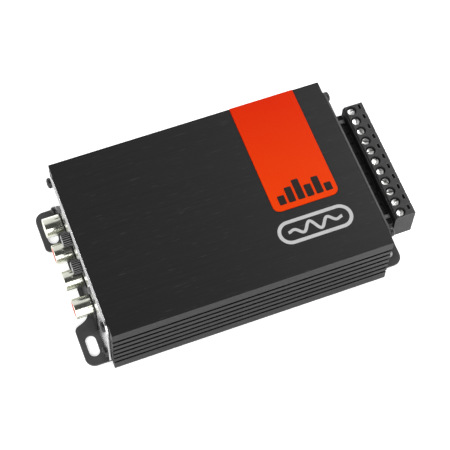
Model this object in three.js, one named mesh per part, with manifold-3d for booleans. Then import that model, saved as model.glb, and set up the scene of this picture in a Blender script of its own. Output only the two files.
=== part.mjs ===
// A small four-channel car amplifier: a finned aluminium case on a slotted base plate, with phono inputs,
// gain knobs and filter switches at one end and a pluggable screw terminal at the other.
// Millimetres, +Z up. The origin is the centre of the underside, +X runs from the inputs to the terminals,
// and +Y runs from the front fins to the back fins.
import * as THREE from "three";
import { mergeVertices } from "three/addons/utils/BufferGeometryUtils.js";
import Module from "manifold-3d";

const wasm = await Module();
wasm.setup();

// Case
const LENGTH = 118;
const WIDTH = 80;
const HEIGHT = 32;
const TOP_WALL = 3;
const SIDE_WALL = 4.6;
const GROOVES = 6;
const GROOVE_FIRST_Z = 6;
const GROOVE_PITCH = 3.9;
const GROOVE_WIDTH = 1.4;
const GROOVE_DEPTH = 1.6;
const END_X = LENGTH / 2;
const SIDE_Y = WIDTH / 2;
const CAVITY_Y = SIDE_Y - SIDE_WALL;
const CEILING_Z = HEIGHT - TOP_WALL;

// Fit between pieces that touch
const GAP = 0.3;
const SEAT = 0.2;

// Base plate and its four slotted ears
const PLATE_Y = 36.6;
const BASE_THICK = 1;
const NECK_X = END_X + 3.4;
const NECK_Y = 14.6;
const NECK_BEND_Y = 16.4;
const SHOULDER_X = END_X + 8;
const SHOULDER_Y = 17.9;
const SHOULDER_BEND_Y = 18.55;
const EAR_X = END_X + 10;
const EAR_INNER_Y = 20.2;
const EAR_RADIUS = 4;
const EAR_CORNER_PULL = 0.6;
const SLOT_X = END_X + 5.4;
const SLOT_FRONT_Y = 28.05;
const SLOT_BACK_Y = 25.65;
const SLOT_WIDTH = 4.4;
const SLOT_LENGTH = 9.4;
const BASE_SCREW_X = 44;
const BASE_SCREW_HOLE_R = 2.5;
const BASE_SCREW_HEAD_R = 2.2;
const BASE_SCREW_SHANK_R = 1.2;
const BASE_SCREW_TOP = 5.3;
const BASE_SCREW_SOCKET_R = 0.9;

// Ledge that the base plate and the board rest on
const LEDGE_Y = 30.9;
const LEDGE_BOTTOM = BASE_THICK + GAP;
const LEDGE_TOP = 6.4;

// End plates and their screws
const END_PLATE_THICK = 0.9;
const END_PLATE_TOP = 31.6;
const END_PLATE_RADIUS = 4.5;
const END_FACE_X = END_X + SEAT + END_PLATE_THICK;
const SCREW_Y = 33.6;
const SCREW_LOW_Z = 3.9;
const SCREW_HIGH_Z = 29;
const SCREW_HEAD_R = 2.2;
const SCREW_HEAD_X = END_X + 2.8;
const SCREW_SHANK_R = 1.25;
const SCREW_DEPTH = 11;
const SCREW_HOLE_R = 1.65;
const CROSS_REACH = 1.2;
const CROSS_HALF_WIDTH = 0.3;
const CROSS_DEPTH = 0.7;
const PORT_R = 2.8;

// Boards
const BOARD_BOTTOM = LEDGE_TOP + SEAT;
const BOARD_TOP = BOARD_BOTTOM + 1.6;
const BOARD_X = END_X - 0.6;
const CONTROL_BOARD_BOTTOM = 21.2;
const CONTROL_BOARD_TOP = 22.4;
const CONTROL_BOARD_BACK_X = -42;

// Inputs
const CHANNELS = 4;
const JACK_PITCH = 12.7;
const JACK_FIRST_Y = 21.2;
const JACK_Z = 15.75;
const JACK_R = 4.15;
const JACK_BORE_R = 3.65;
const JACK_END_X = -END_X - 8.8;
const JACK_BACK_X = -50;
const INSERT_RECESS = 0.05;
const INSERT_HOLE_R = 1.65;
const INSERT_HOLE_DEPTH = 9;
const BLOCK_FACE_X = -END_X - 1.6;
const BLOCK_BACK_X = -46;
const BLOCK_MARGIN = 5.8;
const BLOCK_TOP = 20.8;
const CONTROL_Z = 26;
const CONTROL_FRONT_X = -END_X + 0.6;
const CONTROL_CEILING = CEILING_Z - 0.4;
const KNOB_R = 2.9;
const KNOB_END_X = -END_X - 4.8;
const KNOB_FLUTES = 20;
const KNOB_FLUTE_DEPTH = 0.4;
const KNOB_SHAFT_R = 1.45;
const KNOB_SHAFT_BACK_X = -53.6;
const KNOB_HOLE_R = 1.9;
const POINTER_HALF_WIDTH = 0.35;
const POINTER_DEPTH = 0.5;
const POT_BACK_X = -51;
const POT_HALF = 3.6;
const POT_BORE_R = 1.8;
const POT_BORE_BACK_X = -53;
const SWITCH_TRAVEL = 2.2;
const SWITCH_BACK_X = -53;
const SWITCH_HALF = 4.3;
const SWITCH_SLOT_HALF = 2.5;
const SWITCH_SLOT_HALF_HEIGHT = 1.4;
const SWITCH_SLOT_BACK_X = -55.6;
const LEVER_HALF = 1.1;
const LEVER_BACK_X = -56;
const jackYs = Array.from({ length: CHANNELS }, (_, i) => JACK_FIRST_Y - i * JACK_PITCH);
const BLOCK_BACK_Y = jackYs[0] + BLOCK_MARGIN;
const BLOCK_FRONT_Y = jackYs[3] - BLOCK_MARGIN;

// Speaker and power terminal
const WAYS = 11;
const WAY_PITCH = 5.08;
const PLUG_Y = (WAYS * WAY_PITCH) / 2;
const PLUG_NEAR_X = END_X + 7;
const PLUG_FAR_X = END_X + 15.6;
const PLUG_BOTTOM = 10.6;
const PLUG_TOP = 26;
const NOSE_Y = 26;
const NOSE_BOTTOM = 10.8;
const NOSE_TOP = 20.2;
const NOSE_X = 55;
const HEADER_BACK_X = 51;
const HEADER_FRONT_X = END_X + 6.4;
const HEADER_Y = 27.3;
const HEADER_BOTTOM = 9.4;
const HEADER_TOP = 21.6;
const CONTACT_Z = (NOSE_BOTTOM + NOSE_TOP) / 2;
const HEADER_CAVITY_X = 54;
const CONTACT_HALF = 0.5;
const CONTACT_BACK_X = 53;
const CONTACT_FRONT_X = 62;
const LATCH_Y = 23.8;
const LATCH_LENGTH = 2.2;
const LATCH_HALF_WIDTH = 0.8;
const LATCH_HEIGHT = 0.7;
const CLAMP_X = END_X + 9.9;
const WELL_R = 2;
const WELL_BOTTOM = 21.4;
const POCKET_X = END_X + 13.9;
const POCKET_HALF_LENGTH = 0.6;
const POCKET_FRONT = -0.3;
const POCKET_BACK = 2;
const POCKET_DEPTH = 1.6;
const ENTRY_HALF_WIDTH = 1.9;
const ENTRY_DEPTH_X = CLAMP_X - 2;
const ENTRY_BOTTOM = 13;
const ENTRY_TOP = 18.4;
const SOCKET_HALF = 0.85;
const SOCKET_BACK_X = 64;
const CLAMP_SCREW_R = 1.68;
const CLAMP_SCREW_BOTTOM = 21.8;
const CLAMP_SCREW_HEIGHT = 3.2;
const CLAMP_SCREW_CHAMFER = 0.3;
const CLAMP_SLOT_HALF_WIDTH = 0.28;
const CLAMP_SLOT_DEPTH = 0.7;
const wayYs = Array.from({ length: WAYS }, (_, i) => ((WAYS - 1) / 2 - i) * WAY_PITCH);

// Coloured inlay in the top
const INLAY_LEFT = 19.3;
const INLAY_RIGHT = 47.4;
const INLAY_FRONT = -11.8;
const INLAY_RADIUS = 3;
const INLAY_BOTTOM = 31.4;
const INLAY_TOP = 32.4;
const INLAY_CLEARANCE = 0.15;

// Parts on the main board
const CHOKE_X = 22;
const CHOKE_Y = 14;
const CHOKE_R = 11;
const CHOKE_HOLE_R = 5;
const CHOKE_HEIGHT = 9;
const CANS = 3;
const CAN_X = 42;
const CAN_FIRST_Y = -23;
const CAN_PITCH = 12.5;
const CAN_R = 5;
const CAN_TOP = 26;
const CHIPS = 4;
const CHIP_FIRST_X = -24;
const CHIP_PITCH = 16;
const CHIP_HALF = 5;
const CHIP_THICK = 4.4;
const CHIP_TOP = 25;
const LEG_HALF = 3;
const LEG_THICK = 0.6;
const PAD_THICK = 0.5;
const PAD_HALF_X = 32;
const PAD_BOTTOM = 10;
const PAD_TOP = 25.6;
const BAR_THICK = 1.5;
const BAR_BOTTOM = 14;
const BAR_TOP = 22;

const ROUND = 20;

// --- shape helpers -------------------------------------------------------------------------------

function solid(geometry) {
  const bare = geometry.index ? geometry.toNonIndexed() : geometry.clone();
  bare.deleteAttribute("normal");
  bare.deleteAttribute("uv");
  const merged = mergeVertices(bare, 1e-4);
  return new wasm.Manifold(
    new wasm.Mesh({
      numProp: 3,
      vertProperties: merged.attributes.position.array,
      triVerts: new Uint32Array(merged.index.array),
    }),
  );
}

function geometryOf(body) {
  const mesh = body.getMesh();
  return new THREE.BufferGeometry()
    .setAttribute("position", new THREE.BufferAttribute(mesh.vertProperties, 3))
    .setIndex(new THREE.BufferAttribute(mesh.triVerts, 1));
}

// A box between two corners.
function block(x0, x1, y0, y1, z0, z1) {
  const g = new THREE.BoxGeometry(x1 - x0, y1 - y0, z1 - z0);
  return solid(g.translate((x0 + x1) / 2, (y0 + y1) / 2, (z0 + z1) / 2));
}

// A box along X, centred on y and z.
function blockAt([x0, x1], y, z, halfY, halfZ) {
  return block(x0, x1, y - halfY, y + halfY, z - halfZ, z + halfZ);
}

// A shape drawn in Y and Z, extruded along X from x0 to x1.
function alongX(shape, x0, x1, curveSegments = 8) {
  const g = new THREE.ExtrudeGeometry(shape, { depth: x1 - x0, bevelEnabled: false, curveSegments });
  g.applyMatrix4(new THREE.Matrix4().set(0, 0, 1, x0, 1, 0, 0, 0, 0, 1, 0, 0, 0, 0, 0, 1));
  return solid(g);
}

// A shape drawn in X and Y, extruded along Z from z0 to z1.
function alongZ(shape, z0, z1, curveSegments = 8) {
  const g = new THREE.ExtrudeGeometry(shape, { depth: z1 - z0, bevelEnabled: false, curveSegments });
  return solid(g.translate(0, 0, z0));
}

// A cylinder whose axis runs along X.
function rodX(r, x0, x1, y, z, segments = ROUND) {
  const g = new THREE.CylinderGeometry(r, r, x1 - x0, segments);
  return solid(g.rotateZ(-Math.PI / 2).translate((x0 + x1) / 2, y, z));
}

// A cylinder whose axis runs along Z.
function rodZ(r, z0, z1, x, y, segments = ROUND) {
  const g = new THREE.CylinderGeometry(r, r, z1 - z0, segments);
  return solid(g.rotateX(Math.PI / 2).translate(x, y, (z0 + z1) / 2));
}

// A turned profile of [radius, distance] pairs, spun round Z and standing on z = 0.
function turned(profile, segments = ROUND) {
  const points = profile.map(([r, h]) => new THREE.Vector2(r, h));
  return solid(new THREE.LatheGeometry(points, segments).rotateX(Math.PI / 2));
}

// The same profile, pointing along +X or -X from a point.
function turnedX(profile, x, y, z, direction, segments = ROUND) {
  const matrix = new THREE.Matrix4().makeRotationY((direction * Math.PI) / 2).setPosition(x, y, z);
  return turned(profile, segments).transform(matrix.elements);
}

function polygon(points) {
  return new THREE.Shape(points.map(([a, b]) => new THREE.Vector2(a, b)));
}

// A slot with round ends, its long side along the second coordinate.
function slotShape(a, b, width, length) {
  const r = width / 2;
  const straight = length / 2 - r;
  const shape = new THREE.Shape();
  shape.moveTo(a + r, b - straight);
  shape.lineTo(a + r, b + straight);
  shape.absarc(a, b + straight, r, 0, Math.PI, false);
  shape.lineTo(a - r, b - straight);
  shape.absarc(a, b - straight, r, Math.PI, 2 * Math.PI, false);
  return shape;
}

const corners = [
  [1, 1],
  [-1, 1],
  [-1, -1],
  [1, -1],
];

// --- materials -----------------------------------------------------------------------------------

function material(color, roughness, metalness) {
  return new THREE.MeshStandardMaterial({ color, roughness, metalness });
}

const blackAnodised = () => material(0x2b2b2d, 0.5, 0.7);
const satinSilver = () => material(0xc9c9c6, 0.35, 0.9);
const blackPaint = () => material(0x2a2a2b, 0.6, 0.2);
const inlayOrange = () => material(0xe03c10, 0.25, 0);
const nickel = () => material(0xcfcdbb, 0.2, 1);
const whitePlastic = () => material(0xe9e6dc, 0.5, 0);
const redPlastic = () => material(0xb5322c, 0.5, 0);
const blackPlastic = () => material(0x202021, 0.55, 0);
const greyPlastic = () => material(0x3c3c3e, 0.55, 0);
const blackZinc = () => material(0x1c1c1e, 0.4, 0.8);
const boardGreen = () => material(0x1f5a34, 0.5, 0);
const ferrite = () => material(0x3b5f3b, 0.6, 0);
const canBlack = () => material(0x26262b, 0.4, 0);
const epoxy = () => material(0x18181a, 0.6, 0);
const springSteel = () => material(0x8c8f92, 0.4, 0.9);
const siliconeGrey = () => material(0x9a9ca0, 0.9, 0);

const amplifier = new THREE.Group();
amplifier.name = "car_amplifier";

function add(name, body, finish) {
  const mesh = new THREE.Mesh(geometryOf(body), finish);
  mesh.name = name;
  amplifier.add(mesh);
  return mesh;
}

// --- case and plates -----------------------------------------------------------------------------

// The grooved outer side of the case, from the bottom edge to the top edge.
function groovedSide(side) {
  const points = [[side * SIDE_Y, 0]];
  for (let i = 0; i < GROOVES; i += 1) {
    const z = GROOVE_FIRST_Z + i * GROOVE_PITCH;
    const low = z - GROOVE_WIDTH / 2;
    const high = z + GROOVE_WIDTH / 2;
    const deep = SIDE_Y - GROOVE_DEPTH;
    points.push([side * SIDE_Y, low], [side * deep, low], [side * deep, high], [side * SIDE_Y, high]);
  }
  points.push([side * SIDE_Y, HEIGHT]);
  return points;
}

// The inner side, with the rebate for the base plate and the ledge above it.
function innerSide(side) {
  const rebate = PLATE_Y + GAP;
  return [
    [side * CAVITY_Y, CEILING_Z],
    [side * CAVITY_Y, LEDGE_TOP],
    [side * LEDGE_Y, LEDGE_TOP],
    [side * LEDGE_Y, LEDGE_BOTTOM],
    [side * rebate, LEDGE_BOTTOM],
    [side * rebate, 0],
  ];
}

function inlayShape(clearance, back) {
  const left = INLAY_LEFT - clearance;
  const right = INLAY_RIGHT + clearance;
  const front = INLAY_FRONT - clearance;
  const r = INLAY_RADIUS + clearance;
  const shape = new THREE.Shape();
  shape.moveTo(left, back);
  shape.lineTo(left, front + r);
  shape.absarc(left + r, front + r, r, Math.PI, 1.5 * Math.PI, false);
  shape.lineTo(right - r, front);
  shape.absarc(right - r, front + r, r, 1.5 * Math.PI, 2 * Math.PI, false);
  shape.lineTo(right, back);
  return shape;
}

function baseScrewPlaces() {
  return corners.map(([a, b]) => [a * BASE_SCREW_X, b * SCREW_Y]);
}

function makeCase() {
  const outline = [
    ...groovedSide(1),
    ...groovedSide(-1).reverse(),
    ...innerSide(-1).reverse(),
    ...innerSide(1),
  ];
  let body = alongX(polygon(outline), -END_X, END_X);
  for (const side of [1, -1]) {
    body = body.add(rodX(PORT_R, -END_X, END_X, side * SCREW_Y, SCREW_HIGH_Z));
  }
  for (const [a, b] of corners) {
    for (const z of [SCREW_LOW_Z, SCREW_HIGH_Z]) {
      const inner = a * (END_X - SCREW_DEPTH - 1);
      const outer = a * (END_X + 1);
      const x = [inner, outer].sort((p, q) => p - q);
      body = body.subtract(rodX(SCREW_SHANK_R + GAP, x[0], x[1], b * SCREW_Y, z, 16));
    }
  }
  for (const [x, y] of baseScrewPlaces()) {
    body = body.subtract(rodZ(BASE_SCREW_SHANK_R + GAP, 0, BASE_SCREW_TOP + GAP, x, y, 16));
  }
  const pocket = inlayShape(INLAY_CLEARANCE, SIDE_Y + 1);
  body = body.subtract(alongZ(pocket, INLAY_BOTTOM - INLAY_CLEARANCE, HEIGHT + 1, 6));
  add("case_extrusion", body, blackAnodised());
}

// One ear of the base plate, from the rounded corner of its long side to the neck, or the other way round.
function earPath(shape, a, b, backwards) {
  const far = a * EAR_X;
  const side = b * PLATE_Y;
  const neck = a * NECK_X;
  const corner = [far - a * EAR_CORNER_PULL, side - b * EAR_CORNER_PULL];
  const cornerStart = [far - a * EAR_RADIUS, side];
  const cornerEnd = [far, side - b * EAR_RADIUS];
  const inner = [far, b * EAR_INNER_Y];
  const shoulder = [a * SHOULDER_X, b * SHOULDER_Y];
  const neckStart = [neck, b * NECK_Y];
  if (!backwards) {
    shape.lineTo(...cornerStart);
    shape.quadraticCurveTo(...corner, ...cornerEnd);
    shape.lineTo(...inner);
    shape.quadraticCurveTo(far, b * SHOULDER_BEND_Y, ...shoulder);
    shape.quadraticCurveTo(neck, b * NECK_BEND_Y, ...neckStart);
  } else {
    shape.lineTo(...neckStart);
    shape.quadraticCurveTo(neck, b * NECK_BEND_Y, ...shoulder);
    shape.quadraticCurveTo(far, b * SHOULDER_BEND_Y, ...inner);
    shape.lineTo(...cornerEnd);
    shape.quadraticCurveTo(...corner, ...cornerStart);
  }
}

function makeBasePlate() {
  const shape = new THREE.Shape();
  shape.moveTo(0, PLATE_Y);
  earPath(shape, -1, 1, false);
  earPath(shape, -1, -1, true);
  earPath(shape, 1, -1, false);
  earPath(shape, 1, 1, true);
  let body = alongZ(shape, 0, BASE_THICK, 6);
  for (const [a, b] of corners) {
    const slotY = b > 0 ? SLOT_BACK_Y : -SLOT_FRONT_Y;
    const slot = slotShape(a * SLOT_X, slotY, SLOT_WIDTH, SLOT_LENGTH);
    body = body.subtract(alongZ(slot, -1, BASE_THICK + 1, 7));
  }
  for (const [x, y] of baseScrewPlaces()) {
    body = body.subtract(rodZ(BASE_SCREW_HOLE_R, -1, BASE_THICK + 1, x, y, 16));
  }
  add("base_plate", body, blackPaint());
}

function makeBaseScrews() {
  const profile = [
    [0, 0.1],
    [BASE_SCREW_HEAD_R, 0.1],
    [BASE_SCREW_HEAD_R, 1],
    [BASE_SCREW_SHANK_R, 1.25],
    [BASE_SCREW_SHANK_R, BASE_SCREW_TOP],
    [0, BASE_SCREW_TOP],
  ];
  baseScrewPlaces().forEach(([x, y], i) => {
    const socket = rodZ(BASE_SCREW_SOCKET_R, 0, 0.7, x, y, 6);
    add(`base_screw_${i + 1}`, turned(profile, 16).translate(x, y, 0).subtract(socket), blackZinc());
  });
}

function endPlateShape() {
  const r = END_PLATE_RADIUS;
  const low = LEDGE_BOTTOM;
  const shape = new THREE.Shape();
  shape.moveTo(-PLATE_Y, low);
  shape.lineTo(PLATE_Y, low);
  shape.lineTo(PLATE_Y, END_PLATE_TOP - r);
  shape.absarc(PLATE_Y - r, END_PLATE_TOP - r, r, 0, Math.PI / 2, false);
  shape.lineTo(-PLATE_Y + r, END_PLATE_TOP);
  shape.absarc(-PLATE_Y + r, END_PLATE_TOP - r, r, Math.PI / 2, Math.PI, false);
  return shape;
}

function endPlate(side) {
  const x = [side * (END_X + SEAT), side * END_FACE_X].sort((p, q) => p - q);
  let body = alongX(endPlateShape(), x[0], x[1], 6);
  for (const y of [SCREW_Y, -SCREW_Y]) {
    for (const z of [SCREW_LOW_Z, SCREW_HIGH_Z]) {
      body = body.subtract(rodX(SCREW_HOLE_R, x[0] - 1, x[1] + 1, y, z, 16));
    }
  }
  return body;
}

function makeInputEndPlate() {
  const x0 = -END_X - 3;
  const x1 = -END_X + 1;
  const jackWindow = block(x0, x1, BLOCK_FRONT_Y - GAP, BLOCK_BACK_Y + GAP, 0, BLOCK_TOP + GAP);
  let body = endPlate(-1).subtract(jackWindow);
  for (const y of [jackYs[1], jackYs[2]]) {
    body = body.subtract(rodX(KNOB_HOLE_R, x0, x1, y, CONTROL_Z));
  }
  for (const y of [jackYs[0], jackYs[3]]) {
    body = body.subtract(switchSlot(x0, x1, y));
  }
  add("input_end_plate", body, satinSilver());
}

function makeOutputEndPlate() {
  const y = HEADER_Y + GAP;
  const headerWindow = block(END_X - 1, END_X + 3, -y, y, HEADER_BOTTOM - GAP, HEADER_TOP + GAP);
  add("output_end_plate", endPlate(1).subtract(headerWindow), blackPaint());
}

function makeEndScrews() {
  const head = SCREW_HEAD_X - END_FACE_X - SEAT;
  const profile = [
    [0, -SCREW_DEPTH],
    [SCREW_SHANK_R, -SCREW_DEPTH],
    [SCREW_SHANK_R, 0],
    [SCREW_HEAD_R, 0],
    [SCREW_HEAD_R, head * 0.55],
    [SCREW_HEAD_R * 0.75, head * 0.9],
    [SCREW_HEAD_R * 0.4, head],
    [0, head],
  ];
  let number = 0;
  for (const side of [-1, 1]) {
    for (const z of [SCREW_HIGH_Z, SCREW_LOW_Z]) {
      for (const y of [SCREW_Y, -SCREW_Y]) {
        number += 1;
        const x = side * (END_FACE_X + SEAT);
        const arms = [x + side * (head - CROSS_DEPTH), x + side * (head + 1)].sort((p, q) => p - q);
        const across = blockAt(arms, y, z, CROSS_REACH, CROSS_HALF_WIDTH);
        const upright = blockAt(arms, y, z, CROSS_HALF_WIDTH, CROSS_REACH);
        const body = turnedX(profile, x, y, z, side, 16).subtract(across).subtract(upright);
        add(`end_plate_screw_${number}`, body, blackZinc());
      }
    }
  }
}

function makeInlay() {
  add("top_inlay", alongZ(inlayShape(0, SIDE_Y), INLAY_BOTTOM, INLAY_TOP, 6), inlayOrange());
}

// --- inputs --------------------------------------------------------------------------------------

function makeJackBlock() {
  const lipBottom = BASE_THICK + 2 * GAP;
  const lip = block(BLOCK_FACE_X, -END_X + SEAT, BLOCK_FRONT_Y, BLOCK_BACK_Y, lipBottom, BLOCK_TOP);
  const rear = block(-END_X, BLOCK_BACK_X, BLOCK_FRONT_Y, BLOCK_BACK_Y, BOARD_TOP + SEAT, BLOCK_TOP);
  let body = lip.add(rear);
  for (const y of jackYs) {
    body = body.subtract(rodX(JACK_R + GAP, BLOCK_FACE_X - 1, JACK_BACK_X + GAP, y, JACK_Z));
  }
  add("phono_jack_block", body, blackPlastic());
}

function makeJacks() {
  const reach = JACK_BACK_X - JACK_END_X;
  const shell = [
    [JACK_BORE_R, 0],
    [JACK_R, 0],
    [JACK_R, reach],
    [JACK_BORE_R, reach],
    [JACK_BORE_R, 0],
  ];
  const insert = [
    [0, 0],
    [JACK_BORE_R - GAP, 0],
    [JACK_BORE_R - GAP, reach - INSERT_RECESS],
    [INSERT_HOLE_R, reach - INSERT_RECESS],
    [INSERT_HOLE_R, reach - INSERT_HOLE_DEPTH],
    [0, reach - INSERT_HOLE_DEPTH],
  ];
  jackYs.forEach((y, i) => {
    add(`phono_jack_shell_${i + 1}`, turnedX(shell, JACK_BACK_X, y, JACK_Z, -1), nickel());
    const plastic = i % 2 === 0 ? whitePlastic() : redPlastic();
    add(`phono_jack_insert_${i + 1}`, turnedX(insert, JACK_BACK_X, y, JACK_Z, -1), plastic);
  });
}

// The fluted outline of a gain knob, in Y and Z.
function flutedShape(radius, flutes, depth) {
  const points = [];
  for (let i = 0; i < flutes; i += 1) {
    for (const [part, r] of [
      [0.1, radius],
      [0.5, radius],
      [0.6, radius - depth],
      [0.95, radius - depth],
    ]) {
      const angle = ((i + part) / flutes) * 2 * Math.PI;
      points.push([r * Math.cos(angle), r * Math.sin(angle)]);
    }
  }
  return polygon(points);
}

function makeGainControls() {
  const floor = CONTROL_BOARD_TOP + SEAT;
  const inner = -END_FACE_X - SEAT;
  const face = [KNOB_END_X - 1, KNOB_END_X + POINTER_DEPTH];
  [jackYs[1], jackYs[2]].forEach((y, i) => {
    const pot = block(CONTROL_FRONT_X, POT_BACK_X, y - POT_HALF, y + POT_HALF, floor, CONTROL_CEILING);
    const bore = rodX(POT_BORE_R, CONTROL_FRONT_X - 1, POT_BORE_BACK_X, y, CONTROL_Z);
    add(`gain_pot_body_${i + 1}`, pot.subtract(bore), greyPlastic());
    const outline = flutedShape(KNOB_R, KNOB_FLUTES, KNOB_FLUTE_DEPTH);
    const grip = alongX(outline, KNOB_END_X, inner).translate(0, y, CONTROL_Z);
    const shaft = rodX(KNOB_SHAFT_R, inner - 0.5, KNOB_SHAFT_BACK_X, y, CONTROL_Z, 16);
    const pointerY = [y - POINTER_HALF_WIDTH, y + POINTER_HALF_WIDTH];
    const pointer = block(...face, ...pointerY, CONTROL_Z, CONTROL_Z + KNOB_R + 1);
    add(`gain_knob_${i + 1}`, grip.add(shaft).subtract(pointer), blackPlastic());
  });
}

// The opening that a switch lever slides in.
function switchSlot(x0, x1, y) {
  return blockAt([x0, x1], y, CONTROL_Z, SWITCH_SLOT_HALF, SWITCH_SLOT_HALF_HEIGHT);
}

function makeFilterSwitches() {
  const floor = CONTROL_BOARD_TOP + SEAT;
  [jackYs[0], jackYs[3]].forEach((y, i) => {
    const shellY = [y - SWITCH_HALF, y + SWITCH_HALF];
    const shell = block(CONTROL_FRONT_X, SWITCH_BACK_X, ...shellY, floor, CONTROL_CEILING);
    const body = shell.subtract(switchSlot(CONTROL_FRONT_X - 1, SWITCH_SLOT_BACK_X, y));
    add(`filter_switch_body_${i + 1}`, body, greyPlastic());
    const start = y + SWITCH_TRAVEL / 2;
    const lever = blockAt([-END_X - 2, LEVER_BACK_X], start, CONTROL_Z, LEVER_HALF, LEVER_HALF);
    add(`filter_switch_lever_${i + 1}`, lever, greyPlastic());
  });
}

// --- terminals -----------------------------------------------------------------------------------

function makeHeader() {
  const shell = block(HEADER_BACK_X, HEADER_FRONT_X, -HEADER_Y, HEADER_Y, HEADER_BOTTOM, HEADER_TOP);
  const cavityY = NOSE_Y + GAP;
  const cavityZ = [NOSE_BOTTOM - GAP, NOSE_TOP + GAP];
  let body = shell.subtract(block(HEADER_CAVITY_X, HEADER_FRONT_X + 1, -cavityY, cavityY, ...cavityZ));
  for (const y of wayYs) {
    const pinX = [CONTACT_BACK_X, CONTACT_FRONT_X];
    body = body.add(blockAt(pinX, y, CONTACT_Z, CONTACT_HALF, CONTACT_HALF));
  }
  for (const y of [LATCH_Y, -LATCH_Y]) {
    const latchX = [HEADER_FRONT_X - LATCH_LENGTH, HEADER_FRONT_X];
    const latchY = [y - LATCH_HALF_WIDTH, y + LATCH_HALF_WIDTH];
    body = body.add(block(...latchX, ...latchY, HEADER_TOP - 0.5, HEADER_TOP + LATCH_HEIGHT));
  }
  add("terminal_header", body, blackPlastic());
}

function makePlug() {
  const housing = block(PLUG_NEAR_X, PLUG_FAR_X, -PLUG_Y, PLUG_Y, PLUG_BOTTOM, PLUG_TOP);
  const nose = block(NOSE_X, PLUG_NEAR_X + 1, -NOSE_Y, NOSE_Y, NOSE_BOTTOM, NOSE_TOP);
  const pocketX = [POCKET_X - POCKET_HALF_LENGTH, POCKET_X + POCKET_HALF_LENGTH];
  const pocketZ = [PLUG_TOP - POCKET_DEPTH, PLUG_TOP + 1];
  const entryX = [ENTRY_DEPTH_X, PLUG_FAR_X + 1];
  const entryHalfHeight = (ENTRY_TOP - ENTRY_BOTTOM) / 2;
  let body = housing.add(nose);
  for (const y of wayYs) {
    const well = rodZ(WELL_R, WELL_BOTTOM, PLUG_TOP + 1, CLAMP_X, y);
    const pocket = block(...pocketX, y + POCKET_FRONT, y + POCKET_BACK, ...pocketZ);
    const entry = blockAt(entryX, y, ENTRY_BOTTOM + entryHalfHeight, ENTRY_HALF_WIDTH, entryHalfHeight);
    const socket = blockAt([NOSE_X - 1, SOCKET_BACK_X], y, CONTACT_Z, SOCKET_HALF, SOCKET_HALF);
    body = body.subtract(well).subtract(pocket).subtract(entry).subtract(socket);
  }
  add("terminal_plug", body, blackPlastic());
}

// The slotted clamp screws, each left at its own angle.
function makeTerminalScrews() {
  const slotFloor = CLAMP_SCREW_HEIGHT - CLAMP_SLOT_DEPTH;
  const profile = [
    [0, 0],
    [CLAMP_SCREW_R, 0],
    [CLAMP_SCREW_R, CLAMP_SCREW_HEIGHT - CLAMP_SCREW_CHAMFER],
    [CLAMP_SCREW_R - CLAMP_SCREW_CHAMFER, CLAMP_SCREW_HEIGHT],
    [0, CLAMP_SCREW_HEIGHT],
  ];
  wayYs.forEach((y, i) => {
    const turn = new THREE.Matrix4().makeRotationZ(i * 0.7 + 0.5);
    const slotZ = [slotFloor, CLAMP_SCREW_HEIGHT + 1];
    const slot = block(-3, 3, -CLAMP_SLOT_HALF_WIDTH, CLAMP_SLOT_HALF_WIDTH, ...slotZ);
    const screw = turned(profile).subtract(slot.transform(turn.elements));
    add(`terminal_screw_${i + 1}`, screw.translate(CLAMP_X, y, CLAMP_SCREW_BOTTOM), nickel());
  });
}

// --- inside --------------------------------------------------------------------------------------

function makeBoards() {
  const main = block(-BOARD_X, BOARD_X, -CAVITY_Y + GAP, CAVITY_Y - GAP, BOARD_BOTTOM, BOARD_TOP);
  add("main_board", main, boardGreen());
  const controlX = [CONTROL_FRONT_X, CONTROL_BOARD_BACK_X];
  const controlY = [jackYs[3] - 6, jackYs[0] + 6];
  const control = block(...controlX, ...controlY, CONTROL_BOARD_BOTTOM, CONTROL_BOARD_TOP);
  add("control_board", control, boardGreen());
}

function makePowerParts() {
  const ring = [
    [CHOKE_HOLE_R, 0],
    [CHOKE_R, 0],
    [CHOKE_R, CHOKE_HEIGHT],
    [CHOKE_HOLE_R, CHOKE_HEIGHT],
    [CHOKE_HOLE_R, 0],
  ];
  add("power_choke", turned(ring).translate(CHOKE_X, CHOKE_Y, BOARD_TOP + SEAT), ferrite());
  for (let i = 0; i < CANS; i += 1) {
    const can = rodZ(CAN_R, BOARD_TOP + SEAT, CAN_TOP, CAN_X, CAN_FIRST_Y + i * CAN_PITCH);
    add(`filter_capacitor_${i + 1}`, can, canBlack());
  }
}

// Transistors pressed against the front wall by a bar, with a pad between.
function makeOutputStage() {
  const padBack = -CAVITY_Y + SEAT;
  const padFace = padBack + PAD_THICK;
  const chipBack = padFace + SEAT;
  const chipFace = chipBack + CHIP_THICK;
  const legBack = chipBack + 2;
  add("thermal_pad", block(-PAD_HALF_X, PAD_HALF_X, padBack, padFace, PAD_BOTTOM, PAD_TOP), siliconeGrey());
  for (let i = 0; i < CHIPS; i += 1) {
    const x = CHIP_FIRST_X + i * CHIP_PITCH;
    const chip = block(x - CHIP_HALF, x + CHIP_HALF, chipBack, chipFace, BOARD_TOP + 2, CHIP_TOP);
    const legX = [x - LEG_HALF, x + LEG_HALF];
    const legs = block(...legX, legBack, legBack + LEG_THICK, BOARD_TOP + SEAT, BOARD_TOP + 2.5);
    add(`power_transistor_${i + 1}`, chip.add(legs), epoxy());
  }
  const barY = [chipFace + SEAT, chipFace + SEAT + BAR_THICK];
  add("transistor_clamp_bar", block(-PAD_HALF_X, PAD_HALF_X, ...barY, BAR_BOTTOM, BAR_TOP), springSteel());
}

makeCase();
makeBasePlate();
makeBaseScrews();
makeInputEndPlate();
makeOutputEndPlate();
makeEndScrews();
makeInlay();
makeJackBlock();
makeJacks();
makeGainControls();
makeFilterSwitches();
makeHeader();
makePlug();
makeTerminalScrews();
makeBoards();
makePowerParts();
makeOutputStage();

export default amplifier;
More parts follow.
